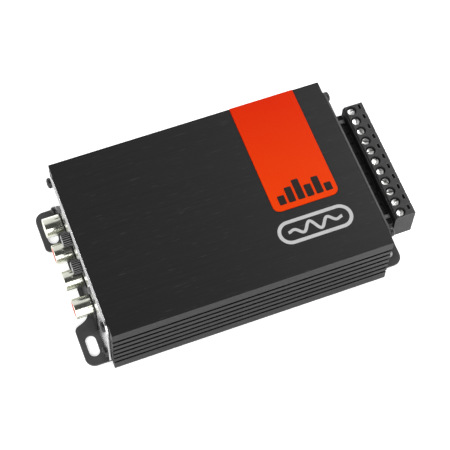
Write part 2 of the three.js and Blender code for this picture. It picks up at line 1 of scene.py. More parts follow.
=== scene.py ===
"""Looks for the compact car amplifier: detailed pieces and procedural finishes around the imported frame."""

import math

import bmesh
import bpy
from mathutils import Matrix, Vector


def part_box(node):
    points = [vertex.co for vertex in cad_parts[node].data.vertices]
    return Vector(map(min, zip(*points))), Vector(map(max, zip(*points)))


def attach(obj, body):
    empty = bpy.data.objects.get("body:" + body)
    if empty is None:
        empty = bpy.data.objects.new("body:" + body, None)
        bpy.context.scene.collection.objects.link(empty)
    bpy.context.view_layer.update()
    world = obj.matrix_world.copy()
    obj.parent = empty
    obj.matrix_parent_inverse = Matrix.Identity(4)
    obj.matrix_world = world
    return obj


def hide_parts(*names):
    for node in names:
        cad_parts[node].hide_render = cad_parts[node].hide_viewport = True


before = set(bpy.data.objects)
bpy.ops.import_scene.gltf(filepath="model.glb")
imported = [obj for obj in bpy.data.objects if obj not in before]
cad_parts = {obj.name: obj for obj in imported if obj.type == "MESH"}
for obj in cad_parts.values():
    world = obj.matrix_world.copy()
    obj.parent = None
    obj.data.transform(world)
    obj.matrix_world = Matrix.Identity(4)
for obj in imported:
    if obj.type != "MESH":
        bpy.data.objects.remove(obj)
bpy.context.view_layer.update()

MM = 0.001
PAST = 1 * MM  # how far a cut or a joined block runs past the surface

# Camera, in the part's own frame
CAMERA_AT = Vector((-0.11177, -0.25729, 0.55664))
CAMERA_FORWARD = Vector((0.18695, 0.41918, -0.88844))
CAMERA_RIGHT = Vector((0.93449, -0.35477, 0.02925))
CAMERA_LENS = 118.96

# How bright the room is, from level with or behind the object (0) to the camera's own direction (1)
ROOM_TONES = ((0.0, 1.0), (0.62, 0.9), (0.78, 0.10), (1.0, 0.06))
TABLE_GLOW = 0.4
SOFTBOXES = (  # name, place, aim, size and watts
    ("key_front", (-0.2, -1.5, 0.75), (0, 0, 0), (2.6, 1.3), 31.0),
    ("side_left", (-1.5, -0.1, 0.7), (0, 0, 0), (1.1, 2.0), 16.0),
    ("side_right", (1.5, 0.1, 0.7), (0, 0, 0), (1.1, 2.0), 14.0),
    ("top_right", (0.42, 0.30, 0.62), (0.05, 0, 0.03), (0.22, 0.22), 1.9),
)
FLOOR_REACH = 6.0
FLOOR_GAP = 0.02 * MM

# Case
GROOVES = 6
GROOVE_FIRST_Z = 6.0 * MM
GROOVE_PITCH = 3.9 * MM
GROOVE_WIDTH = 1.4 * MM
GROOVE_DEPTH = 1.6 * MM
WALL = 4.6 * MM
TOP_WALL = 3.0 * MM
LEDGE_Y = 30.9 * MM
LEDGE_BOTTOM = 1.3 * MM
LEDGE_TOP = 6.4 * MM
REBATE_Y = 36.9 * MM
EDGE = 0.18 * MM
CLEARANCE = 0.3 * MM
POCKET_CLEARANCE = 0.15 * MM
PORT_RADIUS = 2.8 * MM
PORT_HOLE_RADIUS = 1.55 * MM
PORT_HOLE_DEPTH = 12 * MM
BASE_HOLE_RADIUS = 1.5 * MM
BASE_HOLE_TOP = 5.6 * MM

# Plates
EAR_ROUND = 4.0 * MM
SLOT_SIZE = (4.4 * MM, 9.4 * MM)
SLOT_INSET = 4.6 * MM
SLOT_FRONT_Y = 28.05 * MM
SLOT_BACK_Y = 25.65 * MM
PLATE_CORNER = 4.5 * MM
PLATE_EDGE = 0.12 * MM
INLAY_CORNER = 3.0 * MM
EAR_FLAT_END_Y = 20.2 * MM
EAR_BEND_Y = 18.55 * MM
SHOULDER_REACH = 8 * MM
SHOULDER_Y = 17.9 * MM
NECK_REACH = 3.4 * MM
NECK_BEND_Y = 16.4 * MM
NECK_Y = 14.6 * MM
PLATE_HOLE_RADIUS = 1.7 * MM
BASE_SCREW_HOLE_RADIUS = 2.5 * MM
END_SHANK_RADIUS = 1.25 * MM
RECESS_HALF = (1.25 * MM, 0.28 * MM)
RECESS_DEPTH = 1.0 * MM

# Inputs
SHELL_RADIUS = 4.15 * MM
SHELL_BORE = 3.65 * MM
BLOCK_BORE = 4.45 * MM
BLOCK_BORE_END_X = -49.7 * MM
BLOCK_GROOVE = (0.45 * MM, 0.35 * MM)  # depth and half width
BLOCK_GROOVE_Z = (2.6 * MM, 11 * MM)
INSERT_HOLE = 1.65 * MM
INSERT_DEPTH = 9 * MM
KNOB_FLUTES = 20
KNOB_FLUTE_DEPTH = 0.4 * MM
KNOB_FLUTE_EXTRA = 0.15 * MM  # how much deeper the flutes go here than in the frame
KNOB_SHAFT_RADIUS = 1.45 * MM
POINTER_HALF_WIDTH = 0.3 * MM
POINTER_DEPTH = 0.5 * MM
DIAL_TICKS = 4  # each way from the middle
DIAL_STEP = 28  # degrees
TICK_START = 3.25 * MM
TICK_END = 3.75 * MM
MIDDLE_TICK_END = 4.0 * MM
TICK_HALF_WIDTH = 0.1 * MM
LEVER_WINDOW_HALF = (2.5 * MM, 1.4 * MM)
KNOB_HOLE_RADIUS = 1.9 * MM

# Terminal
WAY_PITCH = 5.08 * MM
WAYS = 11
WELL_RADIUS = 2.0 * MM
POCKET_SIZE = (1.15 * MM, 2.3 * MM, 1.6 * MM)
POCKET_OFFSET = (4 * MM, 0.85 * MM)
WAY_GROOVE = (0.2 * MM, 0.18 * MM)  # depth and half width
PLUG_NEAR_X = 66.0 * MM
PLUG_LEDGE = 0.35 * MM
PLUG_STEP = 0.95 * MM
PLUG_CHAMFER = 0.28 * MM
NOSE_Y = 26.0 * MM
NOSE_Z = (10.8 * MM, 20.2 * MM)
WELL_BOTTOM = 21.4 * MM
ENTRY_HALF_WIDTH = 1.9 * MM
ENTRY_Z = (13.0 * MM, 18.4 * MM)
CONTACT_Z = 15.5 * MM
CONTACT_X = (53.0 * MM, 62.0 * MM)
SOCKET_HALF = 0.85 * MM
SOCKET_BACK_X = 64.0 * MM
HEADER_CAVITY_X = 54.0 * MM
HEADER_GROOVE_X = 62.0 * MM
LATCH_Y = 23.8 * MM
LATCH_HEIGHT = 0.7 * MM
LATCH_LENGTH = 2.2 * MM
LATCH_HALF_WIDTH = 0.8 * MM
HEADER_GROOVE = 0.3 * MM  # depth and half width


# --- places read from the frame ---


def middle(node):
    low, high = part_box(node)
    return (low + high) / 2


CASE_LOW, CASE_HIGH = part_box("case_extrusion")
BASE_LOW, BASE_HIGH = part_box("base_plate")
PLUG_LOW, PLUG_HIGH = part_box("terminal_plug")
HEADER_LOW, HEADER_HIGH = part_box("terminal_header")
INLAY_LOW, INLAY_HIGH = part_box("top_inlay")
BLOCK_LOW, BLOCK_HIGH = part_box("phono_jack_block")
JACKS = [middle(f"phono_jack_shell_{i}") for i in range(1, 5)]
KNOBS = [middle(f"gain_knob_{i}") for i in (1, 2)]
LEVERS = [middle(f"filter_switch_lever_{i}") for i in (1, 2)]
CLAMP_SCREWS = [middle(f"terminal_screw_{i}") for i in range(1, WAYS + 1)]
END_SCREWS = [f"end_plate_screw_{i}" for i in range(1, 9)]
BASE_SCREWS = [f"base_screw_{i}" for i in range(1, 5)]


# --- mesh helpers ---


def link(name, mesh):
    obj = bpy.data.objects.new(name, mesh)
    bpy.context.scene.collection.objects.link(obj)
    return obj


def mesh_from(name, points, faces):
    mesh = bpy.data.meshes.new(name)
    mesh.from_pydata([tuple(p) for p in points], [], faces)
    mesh.update()
    return mesh


def box_mesh(low, high):
    (x0, y0, z0), (x1, y1, z1) = low, high
    points = [(x, y, z) for x in (x0, x1) for y in (y0, y1) for z in (z0, z1)]
    faces = [(0, 1, 3, 2), (4, 6, 7, 5), (0, 4, 5, 1), (2, 3, 7, 6), (0, 2, 6, 4), (1, 5, 7, 3)]
    return mesh_from("box", points, faces)


def rod_mesh(radius, low, high, axis, at, segments=48):
    """A cylinder along one axis, from low to high, centred on the other two coordinates of at."""
    ring = [(radius * math.cos(a), radius * math.sin(a)) for a in angles(segments)]
    u, v = [i for i in range(3) if i != axis]
    points = []
    for end in (low, high):
        for a, b in ring:
            p = [0, 0, 0]
            p[axis], p[u], p[v] = end, at[u] + a, at[v] + b
            points.append(p)
    sides = [(i, (i + 1) % segments, segments + (i + 1) % segments, segments + i) for i in range(segments)]
    faces = sides + [tuple(range(segments)), tuple(range(2 * segments - 1, segments - 1, -1))]
    return mesh_from("rod", points, faces)


def angles(count):
    return [2 * math.pi * i / count for i in range(count)]


def tidy_mesh(mesh, dissolve=0.0):
    """Merge doubled vertices, point every face out, and join flat neighbours if asked."""
    bm = bmesh.new()
    bm.from_mesh(mesh)
    bmesh.ops.remove_doubles(bm, verts=bm.verts, dist=1e-7)
    if dissolve:
        bmesh.ops.dissolve_limit(bm, angle_limit=dissolve, verts=bm.verts, edges=bm.edges)
    bmesh.ops.recalc_face_normals(bm, faces=bm.faces)
    bm.to_mesh(mesh)
    bm.free()
    return mesh


def merged(meshes):
    """Several meshes as one, none of them touching."""
    bm = bmesh.new()
    for mesh in meshes:
        bm.from_mesh(mesh)
    out = bpy.data.meshes.new("merged")
    bm.to_mesh(out)
    bm.free()
    return tidy_mesh(out)


def evaluated_mesh(obj):
    """What an object's modifiers or its curve make of it."""
    depsgraph = bpy.context.evaluated_depsgraph_get()
    return bpy.data.meshes.new_from_object(obj.evaluated_get(depsgraph))


def settle(obj):
    """Apply every modifier to the mesh."""
    mesh = evaluated_mesh(obj)
    obj.modifiers.clear()
    obj.data = mesh
    return obj


def carve(obj, mesh, operation="DIFFERENCE"):
    """Cut a mesh from obj, or join it on, with an exact boolean."""
    cutter = link("cutter", tidy_mesh(mesh))
    modifier = obj.modifiers.new("carve", "BOOLEAN")
    modifier.operation = operation
    modifier.solver = "EXACT"
    modifier.object = cutter
    settle(obj)
    bpy.data.objects.remove(cutter)
    return obj


def round_edges(obj, width, segments=2, angle=32):
    """Round every edge sharper than the angle."""
    tidy_mesh(obj.data, math.radians(0.5))
    modifier = obj.modifiers.new("round", "BEVEL")
    modifier.width = width
    modifier.segments = segments
    modifier.limit_method = "ANGLE"
    modifier.angle_limit = math.radians(angle)
    modifier.use_clamp_overlap = True
    modifier.miter_outer = "MITER_ARC"
    return settle(obj)


def smooth(obj, angle=32):
    """Shade gentle edges smooth, while the flat faces beside them stay flat."""
    obj.data.shade_smooth()
    obj.data.set_sharp_from_angle(angle=math.radians(angle))
    modifier = obj.modifiers.new("flat_faces", "WEIGHTED_NORMAL")
    modifier.keep_sharp = True
    return settle(obj)


def finish_piece(obj, body, slot, material, *nodes):
    """Smooth the piece, give it its finish, tie it to its body, and hide the CAD nodes it stands for."""
    smooth(obj)
    obj.data.materials.clear()
    obj.data.materials.append(material)
    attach(obj, body)
    if nodes:
        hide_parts(*nodes)
    return obj


def lathe_mesh(profile, segments=64):
    """Turn (radius, height) points round Z. A closed profile repeats its first point."""
    points, rings = [], []
    for radius, height in profile:
        if radius < 1e-9:
            rings.append([len(points)] * segments)
            points.append((0, 0, height))
        else:
            rings.append(list(range(len(points), len(points) + segments)))
            points += [(radius * math.cos(a), radius * math.sin(a), height) for a in angles(segments)]
    faces = []
    for lower, upper in zip(rings, rings[1:]):
        for i in range(segments):
            j = (i + 1) % segments
            quad = [lower[i], lower[j], upper[j], upper[i]]
            face = [v for k, v in enumerate(quad) if v not in quad[:k]]
            if len(face) > 2:
                faces.append(face)
    return tidy_mesh(mesh_from("lathe", points, faces))


def aimed(mesh, at, direction):
    """Stand a mesh that points along +Z on a point, facing a direction."""
    turn = Vector((0, 0, 1)).rotation_difference(Vector(direction)).to_matrix().to_4x4()
    mesh.transform(Matrix.Translation(at) @ turn)
    return mesh


def rounded_loop(points, radius, steps=4):
    """A closed outline with each corner turned into an arc, as far as its sides allow."""
    out = []
    count = len(points)
    for i in range(count):
        p = Vector(points[i])
        before = Vector(points[i - 1]) - p
        after = Vector(points[(i + 1) % count]) - p
        reach = min(radius, before.length * 0.45, after.length * 0.45)
        a = p + before.normalized() * reach
        b = p + after.normalized() * reach
        for s in range(steps + 1):
            t = s / steps
            out.append((1 - t) ** 2 * a + 2 * t * (1 - t) * p + t * t * b)
    return out


def arc(centre, radius, start, end, steps=10):
    """Points on an arc, angles in degrees."""
    return [
        (
            centre[0] + radius * math.cos(math.radians(start + (end - start) * i / steps)),
            centre[1] + radius * math.sin(math.radians(start + (end - start) * i / steps)),
        )
        for i in range(steps + 1)
    ]


def plate_mesh(loops, low, high, edge, across="Z"):
    """A flat plate from outlines, the first the rim and the rest holes, with rounded edges."""
    curve = bpy.data.curves.new("plate", "CURVE")
    curve.dimensions = "2D"
    curve.fill_mode = "BOTH"
    curve.extrude = (high - low) / 2 - edge
    curve.bevel_depth = edge
    curve.bevel_resolution = 2
    curve.offset = -edge
    for loop in loops:
        spline = curve.splines.new("POLY")
        spline.points.add(len(loop) - 1)
        for point, (a, b) in zip(spline.points, loop):
            point.co = (a, b, 0, 1)
        spline.use_cyclic_u = True
    obj = link("plate", curve)
    bpy.context.view_layer.update()
    mesh = evaluated_mesh(obj)
    bpy.data.objects.remove(obj)
    place = Matrix.Translation((0, 0, (low + high) / 2))
    if across == "X":
        place = Matrix(((0, 0, 1, 0), (1, 0, 0, 0), (0, 1, 0, 0), (0, 0, 0, 1))) @ place
    mesh.transform(place)
    return tidy_mesh(mesh)


def bevelled_node(node, body, slot, material, width=0.2 * MM):
    """A copy of a CAD node's own shape with its edges rounded."""
    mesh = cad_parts[node].data.copy()
    obj = link(node + "_detail", mesh)
    round_edges(obj, width, angle=40)
    return finish_piece(obj, body, slot, material, node)


def small_box(name, low, high, edge, body, slot, material):
    """A rounded box that stands for no CAD node of its own."""
    piece = link(name, box_mesh(low, high))
    round_edges(piece, edge)
    return finish_piece(piece, body, slot, material)


def rectangle(x0, x1, y0, y1):
    return [(x0, y0), (x1, y0), (x1, y1), (x0, y1)]


# --- material helpers ---


class Nodes:
    """Short ways to add nodes to a material's or the world's tree."""

    def __init__(self, tree):
        self.nodes = tree.nodes
        self.links = tree.links
        self.coordinates = self.nodes.new("ShaderNodeTexCoord")

    def ramp(self, factor, stops):
        node = self.nodes.new("ShaderNodeValToRGB")
        while len(node.color_ramp.elements) < len(stops):
            node.color_ramp.elements.new(0.5)
        for element, (at, colour) in zip(node.color_ramp.elements, stops):
            element.position = at
            element.color = (*colour, 1.0)
        self.links.new(factor, node.inputs["Fac"])
        return node.outputs["Color"]

    def spread(self, factor, low, high, from_low=0.3, from_high=0.7):
        """Map a factor onto a range of values."""
        node = self.nodes.new("ShaderNodeMapRange")
        node.inputs["From Min"].default_value = from_low
        node.inputs["From Max"].default_value = from_high
        node.inputs["To Min"].default_value = low
        node.inputs["To Max"].default_value = high
        self.links.new(factor, node.inputs["Value"])
        return node.outputs["Result"]

    def vector(self, operation, a, b=(0, 0, 0), output="Vector"):
        """Vector arithmetic on a socket and a second socket or a constant."""
        node = self.nodes.new("ShaderNodeVectorMath")
        node.operation = operation
        self.links.new(a, node.inputs[0])
        if isinstance(b, bpy.types.NodeSocket):
            self.links.new(b, node.inputs[1])
        else:
            node.inputs[1].default_value = b
        return node.outputs[output]


class Finish(Nodes):
    """A Principled material and short ways to add procedural detail to it."""

    def __init__(self, name, roughness=0.5, metallic=0.0, specular=0.5, coat=0.0):
        self.material = bpy.data.materials.new(name)
        self.material.use_nodes = True
        super().__init__(self.material.node_tree)
        self.shader = self.nodes["Principled BSDF"]
        self.shader.inputs["Roughness"].default_value = roughness
        self.shader.inputs["Metallic"].default_value = metallic
        self.shader.inputs["Specular IOR Level"].default_value = specular
        self.shader.inputs["Coat Weight"].default_value = coat
        self.shader.inputs["Coat Roughness"].default_value = 0.12

    def noise(self, scale, detail=3.0, roughness=0.55, distortion=0.0):
        """Noise over object coordinates, in cycles per metre along X, Y and Z."""
        mapping = self.nodes.new("ShaderNodeMapping")
        mapping.inputs["Scale"].default_value = scale if hasattr(scale, "__len__") else (scale,) * 3
        self.links.new(self.coordinates.outputs["Object"], mapping.inputs["Vector"])
        texture = self.nodes.new("ShaderNodeTexNoise")
        texture.inputs["Scale"].default_value = 1.0
        texture.inputs["Detail"].default_value = detail
        texture.inputs["Roughness"].default_value = roughness
        texture.inputs["Distortion"].default_value = distortion
        self.links.new(mapping.outputs["Vector"], texture.inputs["Vector"])
        return texture.outputs["Fac"]

    def mix(self, factor, a, b):
        node = self.nodes.new("ShaderNodeMix")
        node.data_type = "RGBA"
        for socket, value in (("Factor_Float", factor), ("A_Color", a), ("B_Color", b)):
            target = next(s for s in node.inputs if s.identifier == socket)
            if isinstance(value, bpy.types.NodeSocket):
                self.links.new(value, target)
            elif hasattr(value, "__len__"):
                target.default_value = (*value, 1.0)
            else:
                target.default_value = value
        return next(s for s in node.outputs if s.identifier == "Result_Color")

    def edges(self, width):
        """Where a corner lies within the given width; the finishes use it to paint a pale highlight along
        edges.
        """
        geometry = self.nodes.new("ShaderNodeNewGeometry")
        rounded = self.nodes.new("ShaderNodeBevel")
        rounded.samples = 6
        rounded.inputs["Radius"].default_value = width
        agree = self.vector("DOT_PRODUCT", geometry.outputs["Normal"], rounded.outputs["Normal"], "Value")
        return self.spread(agree, 1.0, 0.0, 0.8, 0.99)

    def axis(self, which):
        split = self.nodes.new("ShaderNodeSeparateXYZ")
        self.links.new(self.coordinates.outputs["Object"], split.inputs["Vector"])
        return split.outputs[which]

    def colour(self, value):
        self.links.new(value, self.shader.inputs["Base Color"])

    def rough(self, value):
        self.links.new(value, self.shader.inputs["Roughness"])

    def grained(self, grain, rough, depth, strength):
        """Let one noise vary the gloss and raise the surface."""
        self.rough(self.spread(grain, *rough))
        self.bump([(grain, depth)], strength)

    def bump(self, heights, strength=0.3):
        """Chain bumps, each (height socket, distance in metres)."""
        normal = None
        for height, distance in heights:
            node = self.nodes.new("ShaderNodeBump")
            node.inputs["Strength"].default_value = strength
            node.inputs["Distance"].default_value = distance
            self.links.new(height, node.inputs["Height"])
            if normal:
                self.links.new(normal, node.inputs["Normal"])
            normal = node.outputs["Normal"]
        self.links.new(normal, self.shader.inputs["Normal"])


def grey(value):
    return (value, value, value)


# --- finishes ---


def brushed_black():
    """Black anodised aluminium, drawn and lightly brushed along its length."""
    f = Finish("black_anodised", roughness=0.42, specular=0.16)
    streaks = f.noise((35, 2600, 2600), detail=4)
    long_streaks = f.noise((9, 900, 900), detail=2)
    flecks = f.noise((160, 2100, 2100), detail=2, roughness=0.4)
    blotch = f.noise(28, detail=3)
    base = f.ramp(streaks, [(0.3, grey(0.0045)), (0.62, grey(0.0078)), (0.8, grey(0.0125))])
    base = f.mix(f.spread(blotch, 0.0, 0.55), base, grey(0.007))
    base = f.mix(f.spread(flecks, 0.0, 0.5, 0.66, 0.8), base, grey(0.045))
    f.colour(base)
    f.rough(f.spread(long_streaks, 0.36, 0.46))
    f.bump([(streaks, 0.012 * MM), (blotch, 0.05 * MM)], strength=0.35)
    return f.material


def powder_black():
    """Matte black powder coat with a fine orange peel."""
    f = Finish("black_powder_coat", roughness=0.55, specular=0.4)
    peel = f.noise(1500, detail=2)
    dust = f.noise(260, detail=4)
    f.colour(f.ramp(dust, [(0.3, grey(0.038)), (0.7, grey(0.056))]))
    f.grained(peel, (0.48, 0.62), 0.03 * MM, 0.5)
    return f.material


def satin_silver():
    """Clear anodised aluminium, brushed across the panel."""
    f = Finish("satin_aluminium", roughness=0.3, metallic=1.0)
    streaks = f.noise((2400, 40, 2400), detail=4)
    cloud = f.noise(60, detail=2)
    base = f.ramp(streaks, [(0.3, grey(0.66)), (0.7, grey(0.84))])
    f.colour(f.mix(f.spread(cloud, 0.0, 0.3), base, (0.68, 0.69, 0.71)))
    f.grained(streaks, (0.2, 0.28), 0.01 * MM, 0.3)
    return f.material


def black_zinc():
    """Black zinc on a steel screw, with a painted pale highlight along its edges."""
    f = Finish("black_screw", roughness=0.25, specular=0.35)
    grain = f.noise(1300, detail=3)
    base = f.ramp(grain, [(0.3, grey(0.004)), (0.7, grey(0.012))])
    # painted highlight: edges mixed towards pale grey
    f.colour(f.mix(f.edges(0.14 * MM), base, grey(0.3)))
    f.grained(grain, (0.2, 0.32), 0.02 * MM, 0.3)
    return f.material


def orange_gloss():
    """Glossy orange-red acrylic, a shade redder towards the back edge."""
    f = Finish("orange_acrylic", roughness=0.28, specular=0.035)
    along = f.spread(f.axis("Y"), 0.0, 1.0, INLAY_LOW.y, INLAY_HIGH.y)
    base = f.ramp(along, [(0.0, (0.59, 0.037, 0.0006)), (1.0, (0.49, 0.0155, 0.001))])
    cloud = f.noise(70, detail=3)
    speckle = f.noise(1800, detail=2)
    f.colour(f.mix(f.spread(cloud, 0.0, 0.25), base, (0.53, 0.025, 0.0008)))
    f.rough(f.spread(speckle, 0.24, 0.34))
    f.bump([(cloud, 0.04 * MM), (speckle, 0.006 * MM)], strength=0.25)
    return f.material


def bright_nickel(name="bright_nickel", tint=(0.86, 0.85, 0.77), rough=(0.1, 0.22)):
    """Bare or plated metal with fine turning marks."""
    f = Finish(name, metallic=1.0)
    turning = f.noise(2200, detail=3)
    stain = f.noise(240, detail=3)
    darker = tuple(0.86 * c for c in tint)
    f.colour(f.ramp(stain, [(0.3, darker), (0.65, tint)]))
    f.grained(turning, rough, 0.003 * MM, 0.2)
    return f.material


def moulded(name, colour, roughness=0.5, specular=0.4, edge_highlight=None):
    """Moulded plastic with a spark-eroded grain and a slightly uneven shade."""
    f = Finish(name, roughness=roughness, specular=specular)
    fine = f.noise(1700, detail=3)
    cloud = f.noise(220, detail=3)
    lighter = tuple(min(1.0, 1.25 * c + 0.002) for c in colour)
    base = f.ramp(cloud, [(0.3, colour), (0.72, lighter)])
    # painted highlight: edges mixed towards a paler colour
    if edge_highlight:
        base = f.mix(f.edges(0.3 * MM), base, edge_highlight)
    f.colour(base)
    f.grained(fine, (roughness - 0.06, roughness + 0.08), 0.03 * MM, 0.4)
    return f.material


def knurled(name, centre, valley, crest):
    """Moulded plastic, with painted shade in the valleys of a knurl about X and a painted highlight on its
    crests.
    """
    f = Finish(name, roughness=0.42, specular=0.04)
    offset = f.vector("SUBTRACT", f.coordinates.outputs["Object"], (0, centre.y, centre.z))
    distance = f.vector("LENGTH", f.vector("MULTIPLY", offset, (0, 1, 1)), output="Value")
    height = f.spread(distance, 0.0, 1.0, valley, crest)
    fine = f.noise(1700, detail=3)
    # painted shade in the valleys, painted highlight on the crests
    f.colour(f.ramp(height, [(0.8, grey(0.002)), (1.0, grey(0.14))]))
    f.grained(fine, (0.36, 0.5), 0.02 * MM, 0.4)
    return f.material


def ink(name, colour, roughness, specular=0.3):
    """Screen-printed ink with a slight mesh texture."""
    f = Finish(name, roughness=roughness, specular=specular)
    mesh_texture = f.noise(2600, detail=2)
    cloud = f.noise(300, detail=3)
    lighter = tuple(min(1.0, 1.12 * c + 0.002) for c in colour)
    f.colour(f.ramp(cloud, [(0.35, colour), (0.7, lighter)]))
    f.grained(mesh_texture, (roughness - 0.05, roughness + 0.08), 0.006 * MM, 0.4)
    return f.material


def solder_mask():
    """Green board with the weave of the laminate just visible."""
    f = Finish("green_board", roughness=0.35, specular=0.5, coat=0.3)
    weave = f.noise((900, 900, 100), detail=1)
    tracks = f.noise(180, detail=0, distortion=1.5)
    mask, copper = (0.012, 0.10, 0.035), (0.03, 0.17, 0.06)
    f.colour(f.ramp(tracks, [(0.47, mask), (0.5, copper), (0.53, mask)]))
    f.grained(weave, (0.3, 0.42), 0.02 * MM, 0.4)
    return f.material


def floor_white():
    """Seamless matte paper on a table lit softly from below."""
    f = Finish("studio_paper", roughness=0.85, specular=0.1)
    fibre = f.noise(420, detail=4)
    f.colour(f.ramp(fibre, [(0.3, grey(0.93)), (0.7, grey(0.95))]))
    f.bump([(fibre, 0.02 * MM)], strength=0.1)
    f.shader.inputs["Emission Color"].default_value = (1, 1, 1, 1)
    f.shader.inputs["Emission Strength"].default_value = TABLE_GLOW
    return f.material


BRUSHED_BLACK = brushed_black()
POWDER_BLACK = powder_black()
SATIN_SILVER = satin_silver()
BLACK_ZINC = black_zinc()
ORANGE = orange_gloss()
NICKEL = bright_nickel(tint=(0.79, 0.8, 0.7), rough=(0.12, 0.2))
SCREW_NICKEL = bright_nickel("screw_nickel", (0.46, 0.46, 0.45), (0.24, 0.36))
SPUN_ALUMINIUM = bright_nickel("spun_aluminium", (0.4, 0.4, 0.41), (0.45, 0.58))
CONTACT_BRASS = bright_nickel("contact_brass", (0.82, 0.62, 0.3), (0.2, 0.35))
COPPER = bright_nickel("enamelled_copper", (0.6, 0.24, 0.08), (0.18, 0.3))
STEEL = bright_nickel("spring_steel", (0.5, 0.5, 0.51), (0.3, 0.45))
WHITE_PLASTIC = moulded("white_plastic", (0.78, 0.75, 0.68), 0.4)
RED_PLASTIC = moulded("red_plastic", (0.5, 0.035, 0.025), 0.4)
# the plug's nylon gets a painted pale highlight along its edges
NYLON = moulded("black_nylon", grey(0.029), 0.45, 0.12, edge_highlight=grey(0.2))
# the latch ribs are the header's black nylon, painted lighter grey as a highlight
LATCH_HIGHLIGHT_PLASTIC = moulded("latch_plastic_painted_highlight", grey(0.1), 0.45)
BLOCK_PLASTIC = moulded("jack_block_plastic", grey(0.01), 0.5, 0.08)
KNOB_PLASTIC = moulded("control_plastic", grey(0.016), 0.42)
GREY_PLASTIC = moulded("grey_control_plastic", grey(0.12), 0.5)
EPOXY = moulded("moulding_compound", grey(0.02), 0.55)
SLEEVE = moulded("capacitor_sleeve", (0.012, 0.014, 0.03), 0.3)
SILICONE = moulded("silicone_pad", grey(0.34), 0.75)
CORE = moulded("coated_core", (0.03, 0.12, 0.05), 0.5)
SILVER_INK = ink("silver_ink", grey(0.34), 0.45)
BLACK_INK = ink("black_ink", (0.012, 0.008, 0.006), 0.36, 0.08)
SOLDER_MASK = solder_mask()


# --- case and plates ---


def case_profile():
    """The section of the case in Y and Z, grooves and ledges included."""
    side_y = CASE_HIGH.y
    top = CASE_HIGH.z
    inner = side_y - WALL
    half = [(side_y, 0.0)]
    for i in range(GROOVES):
        z = GROOVE_FIRST_Z + i * GROOVE_PITCH
        low, high = z - GROOVE_WIDTH / 2, z + GROOVE_WIDTH / 2
        deep = side_y - GROOVE_DEPTH
        half += [(side_y, low), (deep, low), (deep, high), (side_y, high)]
    half.append((side_y, top))
    inside = [
        (inner, top - TOP_WALL),
        (inner, LEDGE_TOP),
        (LEDGE_Y, LEDGE_TOP),
        (LEDGE_Y, LEDGE_BOTTOM),
        (REBATE_Y, LEDGE_BOTTOM),
        (REBATE_Y, 0.0),
    ]
    outside_left = [(-y, z) for y, z in reversed(half)]
    inside_left = [(-y, z) for y, z in reversed(inside)]
    return rounded_loop(half + outside_left + inside_left + inside, EDGE, steps=3)


def inlay_loop(clearance, back):
    left, right = INLAY_LOW.x - clearance, INLAY_HIGH.x + clearance
    front = INLAY_LOW.y - clearance
    r = INLAY_CORNER + clearance
    loop = [(right, back), (left, back)]
    loop += arc((left + r, front + r), r, 180, 270)
    loop += arc((right - r, front + r), r, 270, 360)
    return loop


def make_case():
    case = link("finned_case", plate_mesh([case_profile()], CASE_LOW.x, CASE_HIGH.x, 0.1 * MM, "X"))
    for node in END_SCREWS[:2]:
        at = middle(node)
        port = rod_mesh(PORT_RADIUS, CASE_LOW.x + EDGE, CASE_HIGH.x - EDGE, 0, at)
        carve(case, port, "UNION")
    holes = []
    for node in END_SCREWS:
        at = middle(node)
        end = CASE_LOW.x if at.x < 0 else CASE_HIGH.x
        reach = sorted((end - math.copysign(PORT_HOLE_DEPTH, at.x), end + math.copysign(PAST, at.x)))
        holes.append(rod_mesh(PORT_HOLE_RADIUS, reach[0], reach[1], 0, at, 32))
    carve(case, merged(holes))
    holes = [rod_mesh(BASE_HOLE_RADIUS, 0, BASE_HOLE_TOP, 2, middle(n), 32) for n in BASE_SCREWS]
    carve(case, merged(holes))
    pocket = plate_mesh(
        [inlay_loop(POCKET_CLEARANCE, CASE_HIGH.y + PAST)],
        INLAY_LOW.z - POCKET_CLEARANCE,
        CASE_HIGH.z + PAST,
        0.01 * MM,
    )
    carve(case, pocket)
    return finish_piece(case, "case", "black_anodised", BRUSHED_BLACK, "case_extrusion")


def make_inlay():
    low, high = INLAY_LOW.z, INLAY_HIGH.z - 0.06 * MM
    inlay = link("orange_inlay", plate_mesh([inlay_loop(0, INLAY_HIGH.y)], low, high, 0.16 * MM))
    return finish_piece(inlay, "case", "orange_acrylic", ORANGE, "top_inlay")


def bezier(a, control, b, steps=8):
    out = []
    for i in range(1, steps + 1):
        t = i / steps
        out.append(
            tuple((1 - t) ** 2 * p + 2 * t * (1 - t) * c + t * t * q for p, c, q in zip(a, control, b))
        )
    return out


def ear_quarter():
    """A quarter of the base plate's rim, from its long side round one ear to the neck."""
    far, side = BASE_HIGH.x, BASE_HIGH.y
    neck = CASE_HIGH.x + NECK_REACH
    shoulder = (CASE_HIGH.x + SHOULDER_REACH, SHOULDER_Y)
    points = arc((far - EAR_ROUND, side - EAR_ROUND), EAR_ROUND, 90, 0)
    points.append((far, EAR_FLAT_END_Y))
    points += bezier(points[-1], (far, EAR_BEND_Y), shoulder)
    points += bezier(shoulder, (neck, NECK_BEND_Y), (neck, NECK_Y))
    return points


def slot_loop(x, y):
    r = SLOT_SIZE[0] / 2
    straight = SLOT_SIZE[1] / 2 - r
    return arc((x, y + straight), r, 0, 180) + arc((x, y - straight), r, 180, 360)


